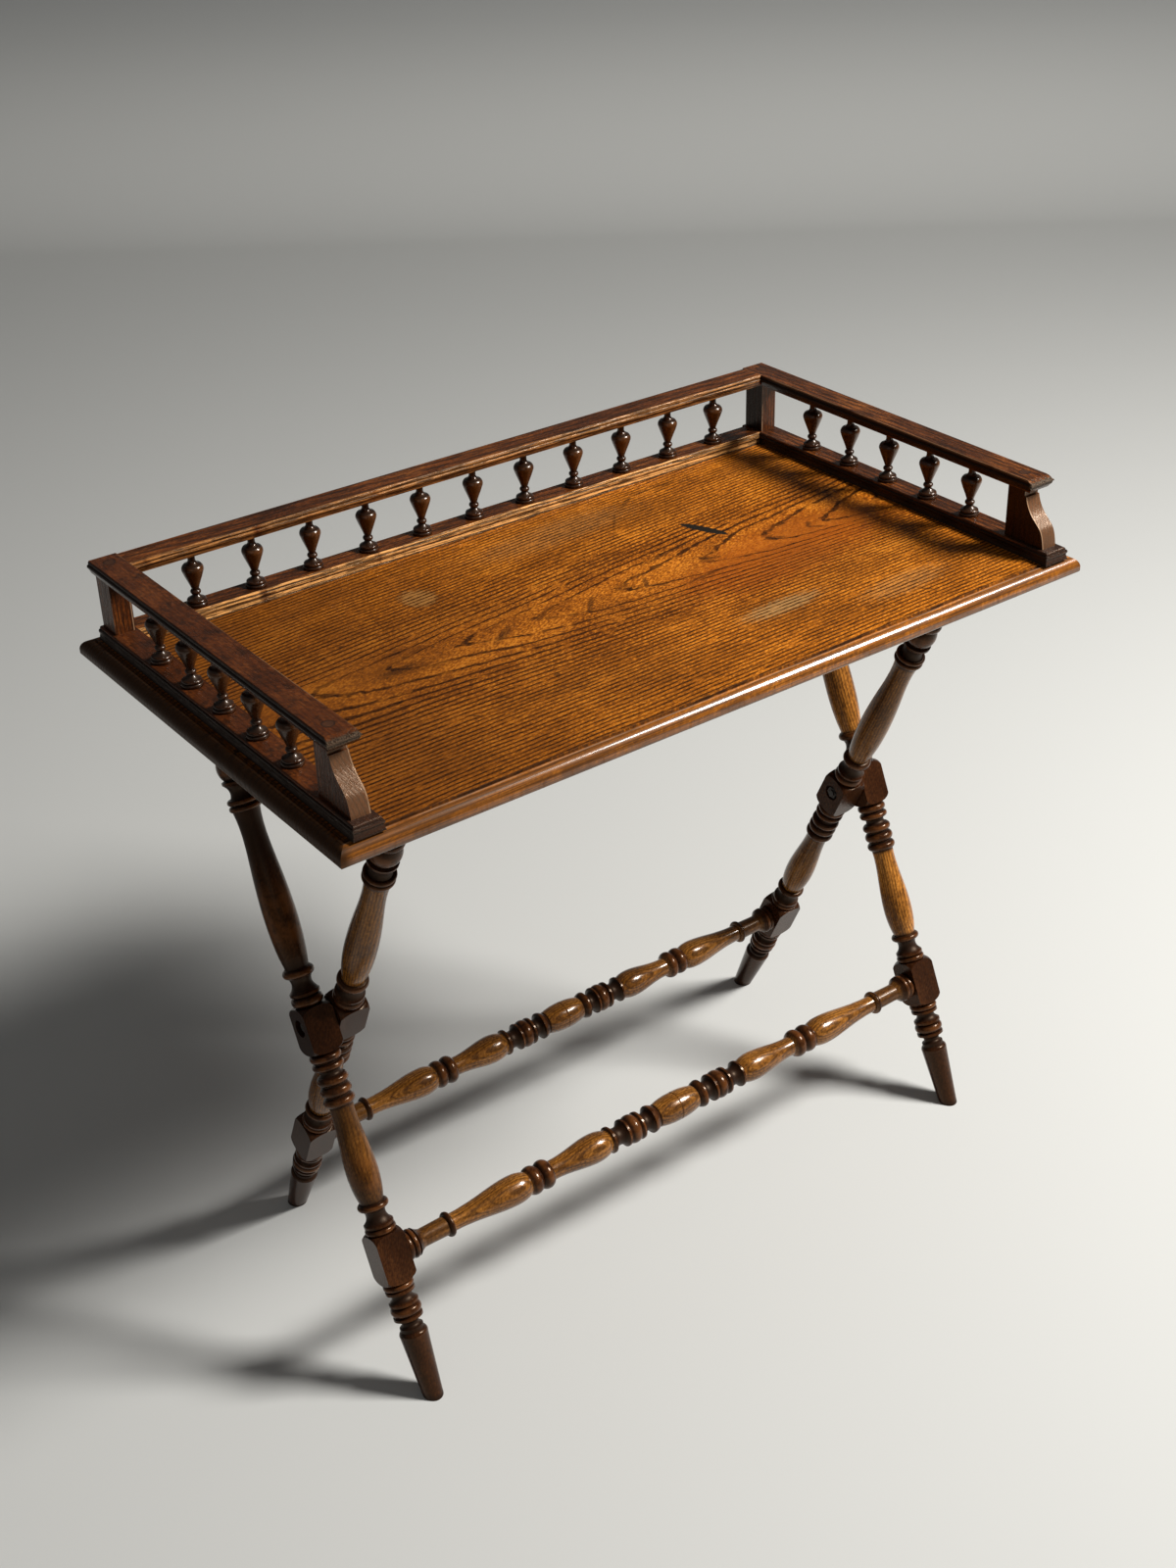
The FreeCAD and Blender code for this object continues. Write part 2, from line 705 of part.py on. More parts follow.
def swept_neck(shape, length, radius, lip_first):
    """A hollow neck that sweeps out to a lip at one end and meets a bead at the other."""
    fall = lip_radius - radius
    radii = [(share, lip_radius - drop * fall) for share, drop in swept_neck_shares]
    if lip_first:
        shape.curve(length, radii, leg_groove_radius)
    else:
        shape.to(0, leg_groove_radius)
        shape.curve(length, [(1 - share, r) for share, r in reversed(radii)], lip_radius)


def foot_turning():
    """The foot of a leg, up to the block that takes the stretcher."""
    top = -(stretcher_drop + lower_block_below)
    shape = Turning(-leg_lower_length - foot_radius, foot_radius)
    above = (foot_shoulder_length + foot_collar_length + foot_neck_length + 3 * lip_length
             + broad_bead_length + lower_neck_length + small_bead_length + 4 * quirk_length)
    shape.to(top - shape.height - above, foot_top_radius)
    shape.cove(foot_shoulder_length, foot_top_radius, leg_groove_radius)
    shape.to(foot_collar_length, leg_groove_radius)
    swept_neck(shape, foot_neck_length, foot_neck_radius, False)
    lip(shape)
    shape.to(quirk_length, leg_groove_radius)
    beads(shape, (broad_bead_length,))
    lip(shape)
    swept_neck(shape, lower_neck_length, leg_neck_radius, True)
    lip(shape)
    shape.to(quirk_length, leg_groove_radius)
    beads(shape, (small_bead_length,))
    return shape.solid()


def middle_turning():
    """The stretch of a leg between its lower block and its cross block."""
    low = -(stretcher_drop - lower_block_above)
    high = -cross_block_below
    lower = 2 * small_bead_length + 2 * quirk_length + lip_length + swept_neck_length
    upper = 3 * bead_length + broad_bead_length + small_bead_length + 4 * quirk_length + short_neck_length
    shape = Turning(low, leg_groove_radius)
    beads(shape, (small_bead_length,))
    lip(shape)
    swept_neck(shape, swept_neck_length, leg_neck_radius, True)
    beads(shape, (small_bead_length,))
    vase(shape, high - low - lower - upper, lower_vase_shares)
    beads(shape, (bead_length, broad_bead_length, bead_length), False)
    shape.bead(short_neck_length, leg_groove_radius, leg_neck_radius)
    beads(shape, (small_bead_length, bead_length))
    return shape.solid()


def upper_turning():
    """The stretch of a leg between its cross block and its top block."""
    low = cross_block_above
    high = leg_upper_length - top_block_length
    lower = broad_bead_length + lip_length + swept_neck_length + bead_length + 2 * quirk_length
    upper = 2 * thin_bead_length + 2 * quirk_length + swept_neck_length + lip_length + ball_length
    upper += 2 * bead_length + 2 * quirk_length
    shape = Turning(low, leg_groove_radius)
    beads(shape, (broad_bead_length,))
    lip(shape)
    swept_neck(shape, swept_neck_length, leg_neck_radius, True)
    beads(shape, (bead_length,))
    vase(shape, high - low - lower - upper, upper_vase_shares)
    beads(shape, (thin_bead_length, thin_bead_length), False)
    swept_neck(shape, swept_neck_length, leg_neck_radius, False)
    lip(shape)
    shape.to(quirk_length, leg_groove_radius)
    shape.bead(ball_length, leg_groove_radius, leg_vase_radius)
    shape.to(quirk_length, leg_groove_radius)
    beads(shape, (bead_length, bead_length), False)
    return shape.solid()


def top_block():
    """The square top of a leg, rounded about the rail that passes into it."""
    half = leg_block_side / 2
    cap_radius = min(half, rail_drop - leg_top_clearance)
    low = leg_upper_length - top_block_length
    square = box(-half, half, -cap_radius, cap_radius, low, leg_upper_length)
    cap = across(cap_radius, -half, half, leg_upper_length)
    return square.fuse(cap).removeSplitter()


def leg_blank():
    """One leg along Z, with the pivot at the origin, before it is bored."""
    leg = foot_turning()
    lower_block = block(-stretcher_drop - lower_block_below, -stretcher_drop + lower_block_above)
    cross_block = block(-cross_block_below, cross_block_above)
    for piece in (lower_block, middle_turning(), cross_block, upper_turning(), top_block()):
        leg = leg.fuse(piece)
    return leg


def leg_holes(inward, bolt_side):
    """Sockets for stretcher and rail on the inward side, and the pivot's bore and counterbore."""
    half = leg_block_side / 2
    mouth = inward * (half + overrun)
    stretcher_end = inward * (half - stretcher_tenon_length - wood_clearance)
    rail_end = inward * (half - rail_tenon_length - wood_clearance)
    floor = bolt_side * (half - counterbore_depth)
    return [across(stretcher_tenon_radius + wood_clearance, mouth, stretcher_end, -stretcher_drop),
            across(rail_tenon_radius + wood_clearance, mouth, rail_end, leg_upper_length),
            across(bolt_radius + running_clearance, -half - overrun, half + overrun, 0),
            across(counterbore_radius, floor, bolt_side * (half + overrun), 0)]


def set_leaning(shape, turn_sign, x):
    """Lean a piece built at the pivot, and set it in its place on the table."""
    placed = shape.copy()
    placed.rotate(ORIGIN, X_AXIS, turn_sign * leg_lean_deg)
    return moved(placed, x, pivot_y, cross_height)


def leg(blank, side, frame):
    """One leg: frame -1 is the outer frame, whose feet are at the front, and 1 the inner one."""
    inward = -side
    bolt_side = side if frame < 0 else -side
    offset = outer_leg_offset if frame < 0 else inner_leg_offset
    shape = blank.cut(Part.makeCompound(leg_holes(inward, bolt_side)))
    placed = set_leaning(shape, frame, side * offset)
    below_floor = box(-tray_length, tray_length, -tray_length, tray_length, -tray_length, 0)
    return placed.cut(below_floor)


def stretcher(offset, frame):
    """A turned stretcher between the lower blocks of a frame."""
    half = offset - leg_block_side / 2
    shape = Turning(0, stretcher_shares[0][2] * stretcher_radius)
    turn_from_shares(shape, stretcher_shares, half, stretcher_radius)
    shape.to(0, stretcher_tenon_radius)
    shape.to(stretcher_tenon_length, stretcher_tenon_radius)
    one_half = shape.solid()
    one_half.rotate(ORIGIN, Y_AXIS, 90)
    whole = one_half.fuse(mirrored_x(one_half))
    return set_leaning(moved(whole, z=-stretcher_drop), frame, 0)


def top_rail(offset, frame):
    """A round rail between the tops of a frame's legs, tenoned at both ends."""
    half = offset - leg_block_side / 2
    end = half + rail_tenon_length
    rail = across(rail_radius, -half, half, leg_upper_length)
    rail = rail.fuse(across(rail_tenon_radius, -end, end, leg_upper_length))
    return set_leaning(rail, frame, 0)


def pivot_bolt():
    """A round-headed bolt through both cross blocks on the right side, head outside."""
    half = leg_block_side / 2
    seat = outer_leg_offset + half - counterbore_depth
    shape = Turning(nut_seat() - nut_height - bolt_end_length, bolt_radius)
    shape.to(seat - shape.height, bolt_radius)
    shape.to(0, bolt_head_radius)
    shape.cove(bolt_head_height, bolt_head_radius * bolt_dome_share, bolt_radius * bolt_crown_share)
    bolt = shape.solid()
    bolt.rotate(ORIGIN, Y_AXIS, 90)
    return moved(bolt, 0, pivot_y, cross_height)


def nut_seat():
    """Where the face of the nut stands, just clear of the floor of its counterbore."""
    return inner_leg_offset - leg_block_side / 2 + counterbore_depth - nut_clearance


def pivot_nut():
    """The hexagon nut in the counterbore of the inner leg."""
    turns = [math.radians(angle) for angle in range(0, 360, 60)]
    corners = [FreeCAD.Vector(0, nut_radius * math.cos(turn), nut_radius * math.sin(turn)) for turn in turns]
    edges = [Part.makeLine(a, b) for a, b in zip(corners, corners[1:] + corners[:1])]
    nut = prism(edges, X_AXIS * nut_height)
    hole = across(bolt_radius + running_clearance, -overrun, nut_height + overrun, 0)
    return moved(nut.cut(hole), nut_seat() - nut_height, pivot_y, cross_height)


def pivot_washer():
    """The washer that keeps the two cross blocks apart."""
    start = inner_leg_offset + leg_block_side / 2 + washer_clearance
    end = outer_leg_offset - leg_block_side / 2 - washer_clearance
    washer = across(washer_radius, start, end, 0)
    hole = across(bolt_radius + running_clearance, start - overrun, end + overrun, 0)
    return moved(washer.cut(hole), 0, pivot_y, cross_height)


def build_tray():
    """Everything that tilts with the tray."""
    save(tray_board(), "tray_board")
    save(bottom_back_rail(), "gallery_bottom_rail_back")
    save(top_back_rail(), "gallery_top_rail_back")
    for name, side in (("left", -1), ("right", 1)):
        save(bottom_side_rail(side), "gallery_bottom_rail_" + name)
        save(top_side_rail(side), "gallery_top_rail_" + name)
        save(corner_post(side), "corner_post_" + name)
        save(front_bracket(side), "front_bracket_" + name)
        save(bearer(side), "tray_bearer_" + name)
    spindle = gallery_spindle()
    for name, places in spindle_places().items():
        for i, (x, y) in enumerate(places):
            save(moved(spindle, x, y, spindle_base), "%s_spindle_%02d" % (name, i + 1))


def build_fastenings():
    """Plugs, screws and dowels of the tray, each kind as one group."""
    plug = Part.makeCylinder(plug_radius, plug_depth)
    plugs = [moved(plug, x, y, plug_base()) for x, y in post_places()]
    save(Part.makeCompound(plugs), "rail_plugs")
    screws = [moved(wood_screw(rail_screw_length), x, y, plug_base()) for x, y in post_places()]
    save(Part.makeCompound(screws), "rail_screws")
    screws = [moved(upside_down(wood_screw(post_screw_length)), x, y, underside) for x, y in post_places()]
    short = upside_down(wood_screw(bottom_rail_screw_length))
    screws += [moved(short, x, y, underside) for x, y in gallery_screw_places()]
    save(Part.makeCompound(screws), "gallery_screws")
    screws = [moved(upside_down(wood_screw(bearer_screw_length)), x, y, bearer_screw_head())
              for x, y in bearer_screw_places()]
    save(Part.makeCompound(screws), "bearer_screws")
    dowels = [rail_dowel(side, height) for side in (-1, 1) for height in dowel_heights()]
    save(Part.makeCompound(dowels), "rail_dowels")


def build_frames():
    """The two leg frames and the pivots between them."""
    blank = leg_blank()
    for frame, word, offset in ((-1, "outer", outer_leg_offset), (1, "inner", inner_leg_offset)):
        for name, side in (("left", -1), ("right", 1)):
            save(leg(blank, side, frame), word + "_leg_" + name)
        save(stretcher(offset, frame), word + "_stretcher")
        save(top_rail(offset, frame), word + "_top_rail")
    pivots = {"pivot_bolt": pivot_bolt(), "pivot_nut": pivot_nut(), "pivot_washer": pivot_washer()}
    for name, piece in pivots.items():
        save(mirrored_x(piece), name + "_left")
        save(piece, name + "_right")


os.makedirs("parts", exist_ok=True)
build_tray()
build_fastenings()
build_frames()
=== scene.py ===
# %% [markdown]
# # A folding tray table in oak
#
# This lesson dresses a small oak tray table: a moulded board with a low gallery of turned
# spindles on three sides, on two crossed leg frames that fold like scissors. The solid pieces
# come ready from the frame, at their real size in metres. What Blender adds is the wood: its
# growth rings, pores and polish, the dirt that sits in the turnings, and the light.
#
# The first cell loads the frame and sets each piece in its place in the world. The dressed
# table must not outgrow it.

# %% Load the frame
import bpy
import math
import numpy as np
from mathutils import Matrix, Vector


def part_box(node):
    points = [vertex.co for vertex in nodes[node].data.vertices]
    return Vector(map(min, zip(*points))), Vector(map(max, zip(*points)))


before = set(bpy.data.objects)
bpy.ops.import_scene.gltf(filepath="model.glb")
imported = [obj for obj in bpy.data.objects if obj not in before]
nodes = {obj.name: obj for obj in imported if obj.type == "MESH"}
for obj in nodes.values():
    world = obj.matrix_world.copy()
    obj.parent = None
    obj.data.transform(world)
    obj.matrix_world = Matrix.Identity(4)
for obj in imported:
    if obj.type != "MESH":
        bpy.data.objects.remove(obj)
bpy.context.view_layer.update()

# %% [markdown]
# ## The camera
#
# The photograph was taken by someone standing at the front left corner, looking down. The
# camera could be moved by eye until the pictures agree, but its place was solved from the
# table's corners instead, which fixes the lens and the slight roll too. Blender's camera looks
# along its own -Z, so the three columns of its rotation are the picture's right, the picture's
# up and the way back.

# %% Stand the camera where the photographer stood
camera_place = Vector((-1.11570, -1.51865, 1.63840))
view_forward = Vector((0.50392, 0.69355, -0.51483)).normalized()
camera_roll = math.radians(-1.717)
lens_mm = 46.96

level_right = view_forward.cross(Vector((0, 0, 1))).normalized()
level_up = level_right.cross(view_forward)
picture_right = level_right * math.cos(camera_roll) + level_up * math.sin(camera_roll)
picture_up = level_up * math.cos(camera_roll) - level_right * math.sin(camera_roll)
turn = Matrix((picture_right, picture_up, -view_forward)).transposed().to_4x4()

camera = bpy.data.objects.new("camera", bpy.data.cameras.new("camera"))
camera.data.lens = lens_mm
camera.data.sensor_width = 36
camera.data.clip_end = 60
camera.matrix_world = Matrix.Translation(camera_place) @ turn
bpy.context.scene.collection.objects.link(camera)
bpy.context.scene.camera = camera
print("camera height:", round(camera_place.z, 3), "m, lens:", lens_mm, "mm")

# %% [markdown]
# ## A language for shader maths
#
# Wood is easier to write as formulas than to wire by hand. `Value` wraps one socket of a
# material and turns Python's operators into Math nodes, so `1 - mask` or `x * x + y * y`
# adds the nodes it needs. `Paint` is a material in the making, and its method `node` makes
# every other node from its type, its settings and what goes into its sockets.
#
# Lengths inside a material are millimetres, which suit a maker better than metres.

# %% The wrapped socket
class Value:
    """A number that changes over the surface. Operators on it add Math nodes."""

    def __init__(self, paint, socket):
        self.paint = paint
        self.socket = socket

    def math(self, operation, *others, clamp=False):
        inputs = dict(enumerate((self,) + others))
        return self.paint.node("Math", {"operation": operation, "use_clamp": clamp}, inputs)

    def __add__(self, other):
        return self.math("ADD", other)

    def __sub__(self, other):
        return self.math("SUBTRACT", other)

    def __rsub__(self, other):
        return -self + other

    def __mul__(self, other):
        return self.math("MULTIPLY", other)

    def __truediv__(self, other):
        return self.math("DIVIDE", other)

    def __neg__(self):
        return self * -1.0

    def __abs__(self):
        return self.math("ABSOLUTE")

    __radd__ = __add__
    __rmul__ = __mul__

    def root(self):
        return self.math("SQRT")

    def power(self, exponent):
        return self.math("POWER", exponent)

    def fraction(self):
        return self.math("FRACT")

    def least(self, other):
        return self.math("MINIMUM", other)

    def most(self, other):
        return self.math("MAXIMUM", other)

    def clamped(self):
        return self.math("ADD", 0.0, clamp=True)

    def rise(self, low, high):
        """0 below low, 1 above high, and a smooth slope between."""
        settings = {"interpolation_type": "SMOOTHSTEP"}
        inputs = {"Value": self, "From Min": low, "From Max": high}
        return self.paint.node("MapRange", settings, inputs)

    def hump(self, low, high, soft):
        """1 between low and high, 0 outside, with a soft edge of a given width."""
        return self.rise(low - soft, low) * (1 - self.rise(high, high + soft))


# %% The material in the making
mm_per_metre = 1000.0


class Paint:
    """One material and its node tree."""

    def __init__(self, name):
        self.material = bpy.data.materials.new(name)
        self.material.use_nodes = True
        self.tree = self.material.node_tree
        self.tree.nodes.clear()

    def node(self, kind, settings=None, inputs=None, output=0):
        """Make a node of a type, set it, fill its sockets, and wrap one of its outputs."""
        made = self.tree.nodes.new("ShaderNode" + kind)
        for name, setting in (settings or {}).items():
            if name == "stops":
                self.set_stops(made.color_ramp, setting)
            else:
                setattr(made, name, setting)
        for key, given in (inputs or {}).items():
            if isinstance(given, Value):
                self.tree.links.new(given.socket, made.inputs[key])
            else:
                made.inputs[key].default_value = given
        return Value(self, made.outputs[output]) if len(made.outputs) else None

    def set_stops(self, ramp, stops):
        while len(ramp.elements) < len(stops):
            ramp.elements.new(1.0)
        for element, (at, colour) in zip(ramp.elements, stops):
            element.position = at
            element.color = (*colour, 1.0)

    def place(self):
        """The point on the piece in millimetres, as three numbers."""
        point = self.node("TexCoord", output="Object")
        parts = [self.node("SeparateXYZ", inputs={0: point}, output=i) for i in range(3)]
        return [part * mm_per_metre for part in parts]

    def noise(self, x, y, z, detail=3.0, roughness=0.5):
        """Cloudy noise, 0 to 1, whose features are about one unit wide."""
        point = self.node("CombineXYZ", inputs={0: x, 1: y, 2: z})
        inputs = {"Vector": point, "Scale": 1.0, "Detail": detail, "Roughness": roughness}
        return self.node("TexNoise", inputs=inputs)

    def mix(self, share, first, second):
        """A colour between two, by a share."""
        settings = {"data_type": "RGBA"}
        return self.node("Mix", settings, {0: share, 6: first, 7: second}, output=2)

    def lay(self, body, share, colour):
        """A plain colour laid over a body, by a share."""
        return self.mix(share, body, (*colour, 1.0))

    def ramp(self, value, stops):
        """A colour from a number, through a list of (place, colour)."""
        return self.node("ValToRGB", {"stops": stops}, {0: value})

    def finish(self, colour, roughness, height=None, relief=0.3, **constants):
        """Close the material: one glossy surface, with bumps from a height in millimetres."""
        inputs = {"Base Color": colour, "Roughness": roughness}
        inputs.update({name.replace("_", " "): value for name, value in constants.items()})
        if height is not None:
            bump = {"Height": height, "Strength": relief, "Distance": 1.0 / mm_per_metre}
            inputs["Normal"] = self.node("Bump", inputs=bump)
        surface = self.node("BsdfPrincipled", inputs=inputs)
        self.node("OutputMaterial", inputs={"Surface": surface})
        return self.material


print("operators ready:", [name for name in vars(Value) if name.startswith("__r")])

# %% [markdown]
# ## What oak looks like
#
# An oak plank shows three things. Each spring the tree lays down a row of wide pores, which
# polish and dirt turn into a dark line: the growth rings. Between them the wood is smooth
# and golden. And the pores are tubes along the trunk, so wherever the saw opens them they
# are short dark scratches, all in the same direction.
#
# A picture of oak could be wrapped round every piece, but it would stretch over the turnings
# and show the same plank twice. Formulas in millimetres cut each piece from a solid tree, so
# one function gives all of it. It is told where the heart of the tree was, measured across
# the grain, and how far apart the rings are. The distance to the heart, divided by the ring
# width, counts the rings, and the fraction of that count says how far into the year we are.
# The line sits at half a year, so that its two soft edges never meet the jump from 1 to 0.
#
# Two noises bend the rings, a slow one and a quick one. A third breaks the lines into dashes,
# and a fourth picks the few years that were hard, whose whole ring is darker. Where the rings
# of the real plank grow wider outwards, the distance is first raised to a small power.

# %% The figure of oak
ring_steepness = 0.35


def oak_figure(paint, along, across, depth, ring_mm, line_share=0.2, waver=0.5, dash_mm=22.0,
               seed=0.0, widening=None):
    """Rings from the distance to the heart, sqrt(across^2 + depth^2); pores from stretched noise.

    With widening, a distance in millimetres, rings beyond it are wider and those inside narrower.
    """
    drift = paint.noise(along / 170.0 + seed, across / 45.0, depth / 45.0, detail=2.0) - 0.5
    tremble = paint.noise(along / 13.0 + seed, across / 5.0, depth / 5.0, detail=2.0) - 0.5
    radius = (across * across + depth * depth).root()
    if widening:
        grown = (radius / widening).power(ring_steepness) - 1.0
        radius = grown * (widening / ring_steepness) + widening
    count = radius / ring_mm + drift * (3.0 * waver) + tremble * (0.7 * waver)
    year = count.fraction()
    breaks = paint.noise(along / dash_mm + seed, count * 1.7, 3.0, detail=2.0)
    line = (1 - abs(year - 0.5).rise(line_share * 0.5, line_share)) * breaks.rise(0.28, 0.46)
    hard_years = paint.noise(along / 95.0 + seed, (count - year) * 7.3, 11.0, detail=1.0)
    heavy = year.hump(0.50, 0.72, 0.14) * hard_years.rise(0.55, 0.66)
    pores = paint.noise(along / 7.0 + seed, across / 0.8, depth / 0.8, detail=2.0, roughness=0.6)
    cloud = paint.noise(along / 90.0, across / 42.0 + seed, depth / 42.0,
                        detail=4.0, roughness=0.6)
    fleck = paint.noise((along + across) / 5.0, (across - along * 0.5) / 2.2 + seed, depth / 3.0)
    return {"line": line, "heavy": heavy, "pores": pores.rise(0.53, 0.66), "cloud": cloud,
            "fleck": fleck}


# %% [markdown]
# ## The board
#
# The board was sawn near the outside of the log, so its middle shows the pointed arches that
# joiners call cathedral grain, and its sides run in straight lines. The arches point to the
# left because the log tapered that way: the heart lies 120 mm under the surface, and comes
# nearer by 36 mm in each metre to the right. Streaks of noise could imitate the lines, but the
# arches come by themselves only when round rings are really cut by a plane. On the edge of the
# board the depth counts for a quarter only, so that the rings don't crowd there.
#
# Age added the rest: dark smudges at the points of the arches, a slip of black stain, pale
# bleached patches, part of a cup's ring, scratches. Each one is an ellipse with a ragged edge.
# The tables below give its place, half its length, half its width and its turn, in
# millimetres and degrees, and how strong it is.

# %% Places and sizes on the board
board_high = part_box("tray_board")[1]
board_top_mm = board_high.z * mm_per_metre
half_board_mm = (board_high.x * mm_per_metre, board_high.y * mm_per_metre)
board_ring_mm = 3.25
heart_depth_mm = 120.0
heart_rise = 0.036
heart_y_mm = -8.0
arch_width_mm = 40.0
line_tilt = 0.055
edge_share = 0.25
moulding_mm = 12.5
print("board:", round(2 * half_board_mm[0]), "x", round(2 * half_board_mm[1]), "mm, its top at",
      round(board_top_mm, 1), "mm")

# %% The marks of age
pale_marks = [
    (132, -141, 62, 17, 2, 0.75), (265, -180, 70, 24, 5, 0.32), (60, 150, 130, 34, 3, 0.22)]
smudges = [
    (-240, -12, 30, 8, 6, 0.75), (-120, -14, 25, 6, 33, 0.80), (-12, -13, 20, 4, 48, 0.85),
    (62, -9, 15, 4, 58, 0.85), (66, -22, 13, 3, -40, 0.75), (128, 34, 50, 4, 13, 0.80),
    (116, -37, 32, 3, 5, 0.85), (153, -8, 13, 4, -12, 0.75), (236, -12, 15, 5, -20, 0.70),
    (288, -8, 9, 4, 50, 0.85), (292, -19, 12, 3, -30, 0.70)]
scratches = [
    (-62, 127, 42, 1.3, -4, 0.85), (-38, 184, 16, 1.5, -2, 0.80), (-203, 86, 15, 1.1, 88, 0.80),
    (50, 81, 6, 1.2, 80, 0.80), (-128, -116, 5, 4, 60, 0.90), (-193, -120, 6, 2, -35, 0.80),
    (-234, -132, 6, 1.8, -45, 0.75), (270, -203, 13, 2, -50, 0.85), (207, -204, 20, 7, -25, 0.45),
    (-88, -225, 17, 1.3, -3, 0.80), (-188, 9, 3, 2.5, 0, 0.90), (292, 194, 3.5, 3, 0, 0.75),
    (-150, -140, 60, 12, -8, 0.22), (-258, 66, 5, 3, 60, 0.70), (24, -222, 40, 2, 4, 0.50),
    (-70, -236, 90, 2, 0, 0.55)]
cup_ring = [
    (131, 134, 24, 2.2, 51, 0.60), (174, 168, 21, 4.2, 34, 0.75), (204, 179, 20, 4.0, 6, 0.75),
    (236, 180, 20, 3.2, -3, 0.75), (264, 172, 17, 2.4, -31, 0.60), (186, 155, 6, 2.6, 33, 0.60)]
dark_marks = smudges + scratches + cup_ring
stain_slip = (193, 55, 31, 6.5, -67)
old_spot = (-140, 110, 23, 26, 0)
warm_patch = (230.0, -40.0, 190.0, 70.0, 8.0)
print("marks:", len(smudges), "smudges,", len(scratches), "scratches,", len(cup_ring), "of the cup")

# %% Colours of the board
board_stops = [(0.40, (0.120, 0.0300, 0.0024)), (0.47, (0.280, 0.0760, 0.0050)),
               (0.53, (0.430, 0.1220, 0.0075)), (0.61, (0.720, 0.2420, 0.0210))]
bright_side = (0.660, 0.2080, 0.0130)
warm_red = (0.330, 0.0730, 0.0046)
dull_brown = (0.150, 0.0520, 0.0080)
painted_shade_left = (0.112, 0.0330, 0.0045)
spot_rim = (0.100, 0.0400, 0.0120)
spot_middle = (0.400, 0.1900, 0.0500)
bleached = (0.400, 0.2220, 0.0780)
nose_brown = (0.250, 0.0850, 0.0100)
ring_black = (0.013, 0.0036, 0.0012)
pore_brown = (0.070, 0.0200, 0.0040)
mark_black = (0.024, 0.0085, 0.0030)
stain_black = (0.010, 0.0095, 0.0080)
quirk_dirt = (0.040, 0.0180, 0.0090)
painted_glint_lip = (0.480, 0.2700, 0.1500)
painted_shade_end = (0.016, 0.0070, 0.0036)
scar_brown = (0.045, 0.0185, 0.0070)
painted_shade_underside = (0.075, 0.0350, 0.0150)
polish_tint = (1.0, 0.72, 0.50, 1.0)
print("colours of the board's wood:", len(board_stops))


# %% Rings and spots of the board
def board_figure(paint, x, y, z):
    """Oak whose heart lies under the board; the lines beside the arches tilt a little."""
    off_centre = y - heart_y_mm
    square = off_centre * off_centre
    across = off_centre - x * line_tilt * (square / (square + arch_width_mm * arch_width_mm))
    depth = heart_depth_mm - x * heart_rise + (z - board_top_mm) * edge_share
    aside = abs(off_centre)
    share = 0.085 + aside.rise(3.0, 80.0) * 0.19
    wood = oak_figure(paint, x, across, depth, board_ring_mm, line_share=share,
                      widening=heart_depth_mm)
    return wood, aside


def ring_darkness(paint, x, y, wood, aside):
    """How dark the ring lines are: flecked everywhere, and fading here and there in the middle."""
    dark = wood["line"] * 0.96 + wood["heavy"] * (1 - aside.rise(30.0, 130.0)) * 0.26
    dark = dark.clamped() * (0.66 + wood["fleck"].rise(0.40, 0.54) * 0.34)
    faded = paint.noise(x / 24.0, y / 15.0, 13.0, detail=2.0).rise(0.44, 0.60)
    return dark * (1 - (1 - aside.rise(8.0, 28.0)) * faded * 0.55)


def smudge(paint, point, ragged, x, y, half_length, half_width, turn, sharp=0.45):
    """1 inside a turned ellipse, 0 outside, with a ragged edge."""
    settings = {"Vector": point, "Location": (x, y, 0.0),
                "Rotation": (0.0, 0.0, math.radians(turn)), "Scale": (half_length, half_width, 1.0)}
    inside = paint.node("Mapping", {"vector_type": "TEXTURE"}, settings)
    reach = paint.node("VectorMath", {"operation": "LENGTH"}, {0: inside}, output="Value")
    return 1 - (reach + (ragged - 0.5) * 1.5).rise(sharp, 1.05)


# %% Body and edge of the board
def board_body(paint, x, y, wood, aside, point, ragged):
    """Golden wood, redder to the right and darkened to the left as painted shade, with its pale and
    old spots.
    """
    body = paint.ramp(wood["cloud"] * 0.38 + wood["fleck"] * 0.62, board_stops)
    body = paint.lay(body, aside.rise(40.0, 150.0) * 0.22, bright_side)
    body = paint.lay(body, smudge(paint, point, ragged, *warm_patch) * 0.72, warm_red)
    darkening = paint.noise(x / 170.0 + 4.0, y / 90.0, 9.0).rise(0.46, 0.62)
    body = paint.lay(body, darkening * 0.18, dull_brown)
    # Painted shade: the board is darkened towards its left end, where less light reaches.
    body = paint.lay(body, (1 - x.rise(-430.0, 120.0)) * 0.72, painted_shade_left)
    spot_x, spot_y, half_length, half_width, spot_turn = old_spot
    rim = smudge(paint, point, ragged, *old_spot, sharp=0.8)
    body = paint.lay(body, rim * 0.45, spot_rim)
    inside = smudge(paint, point, ragged, spot_x, spot_y, half_length * 0.84, half_width * 0.84,
                    spot_turn, sharp=0.7)
    body = paint.lay(body, inside * 0.60, spot_middle)
    for *shape, strength in pale_marks:
        body = paint.lay(body, smudge(paint, point, ragged, *shape) * strength, bleached)
    return body


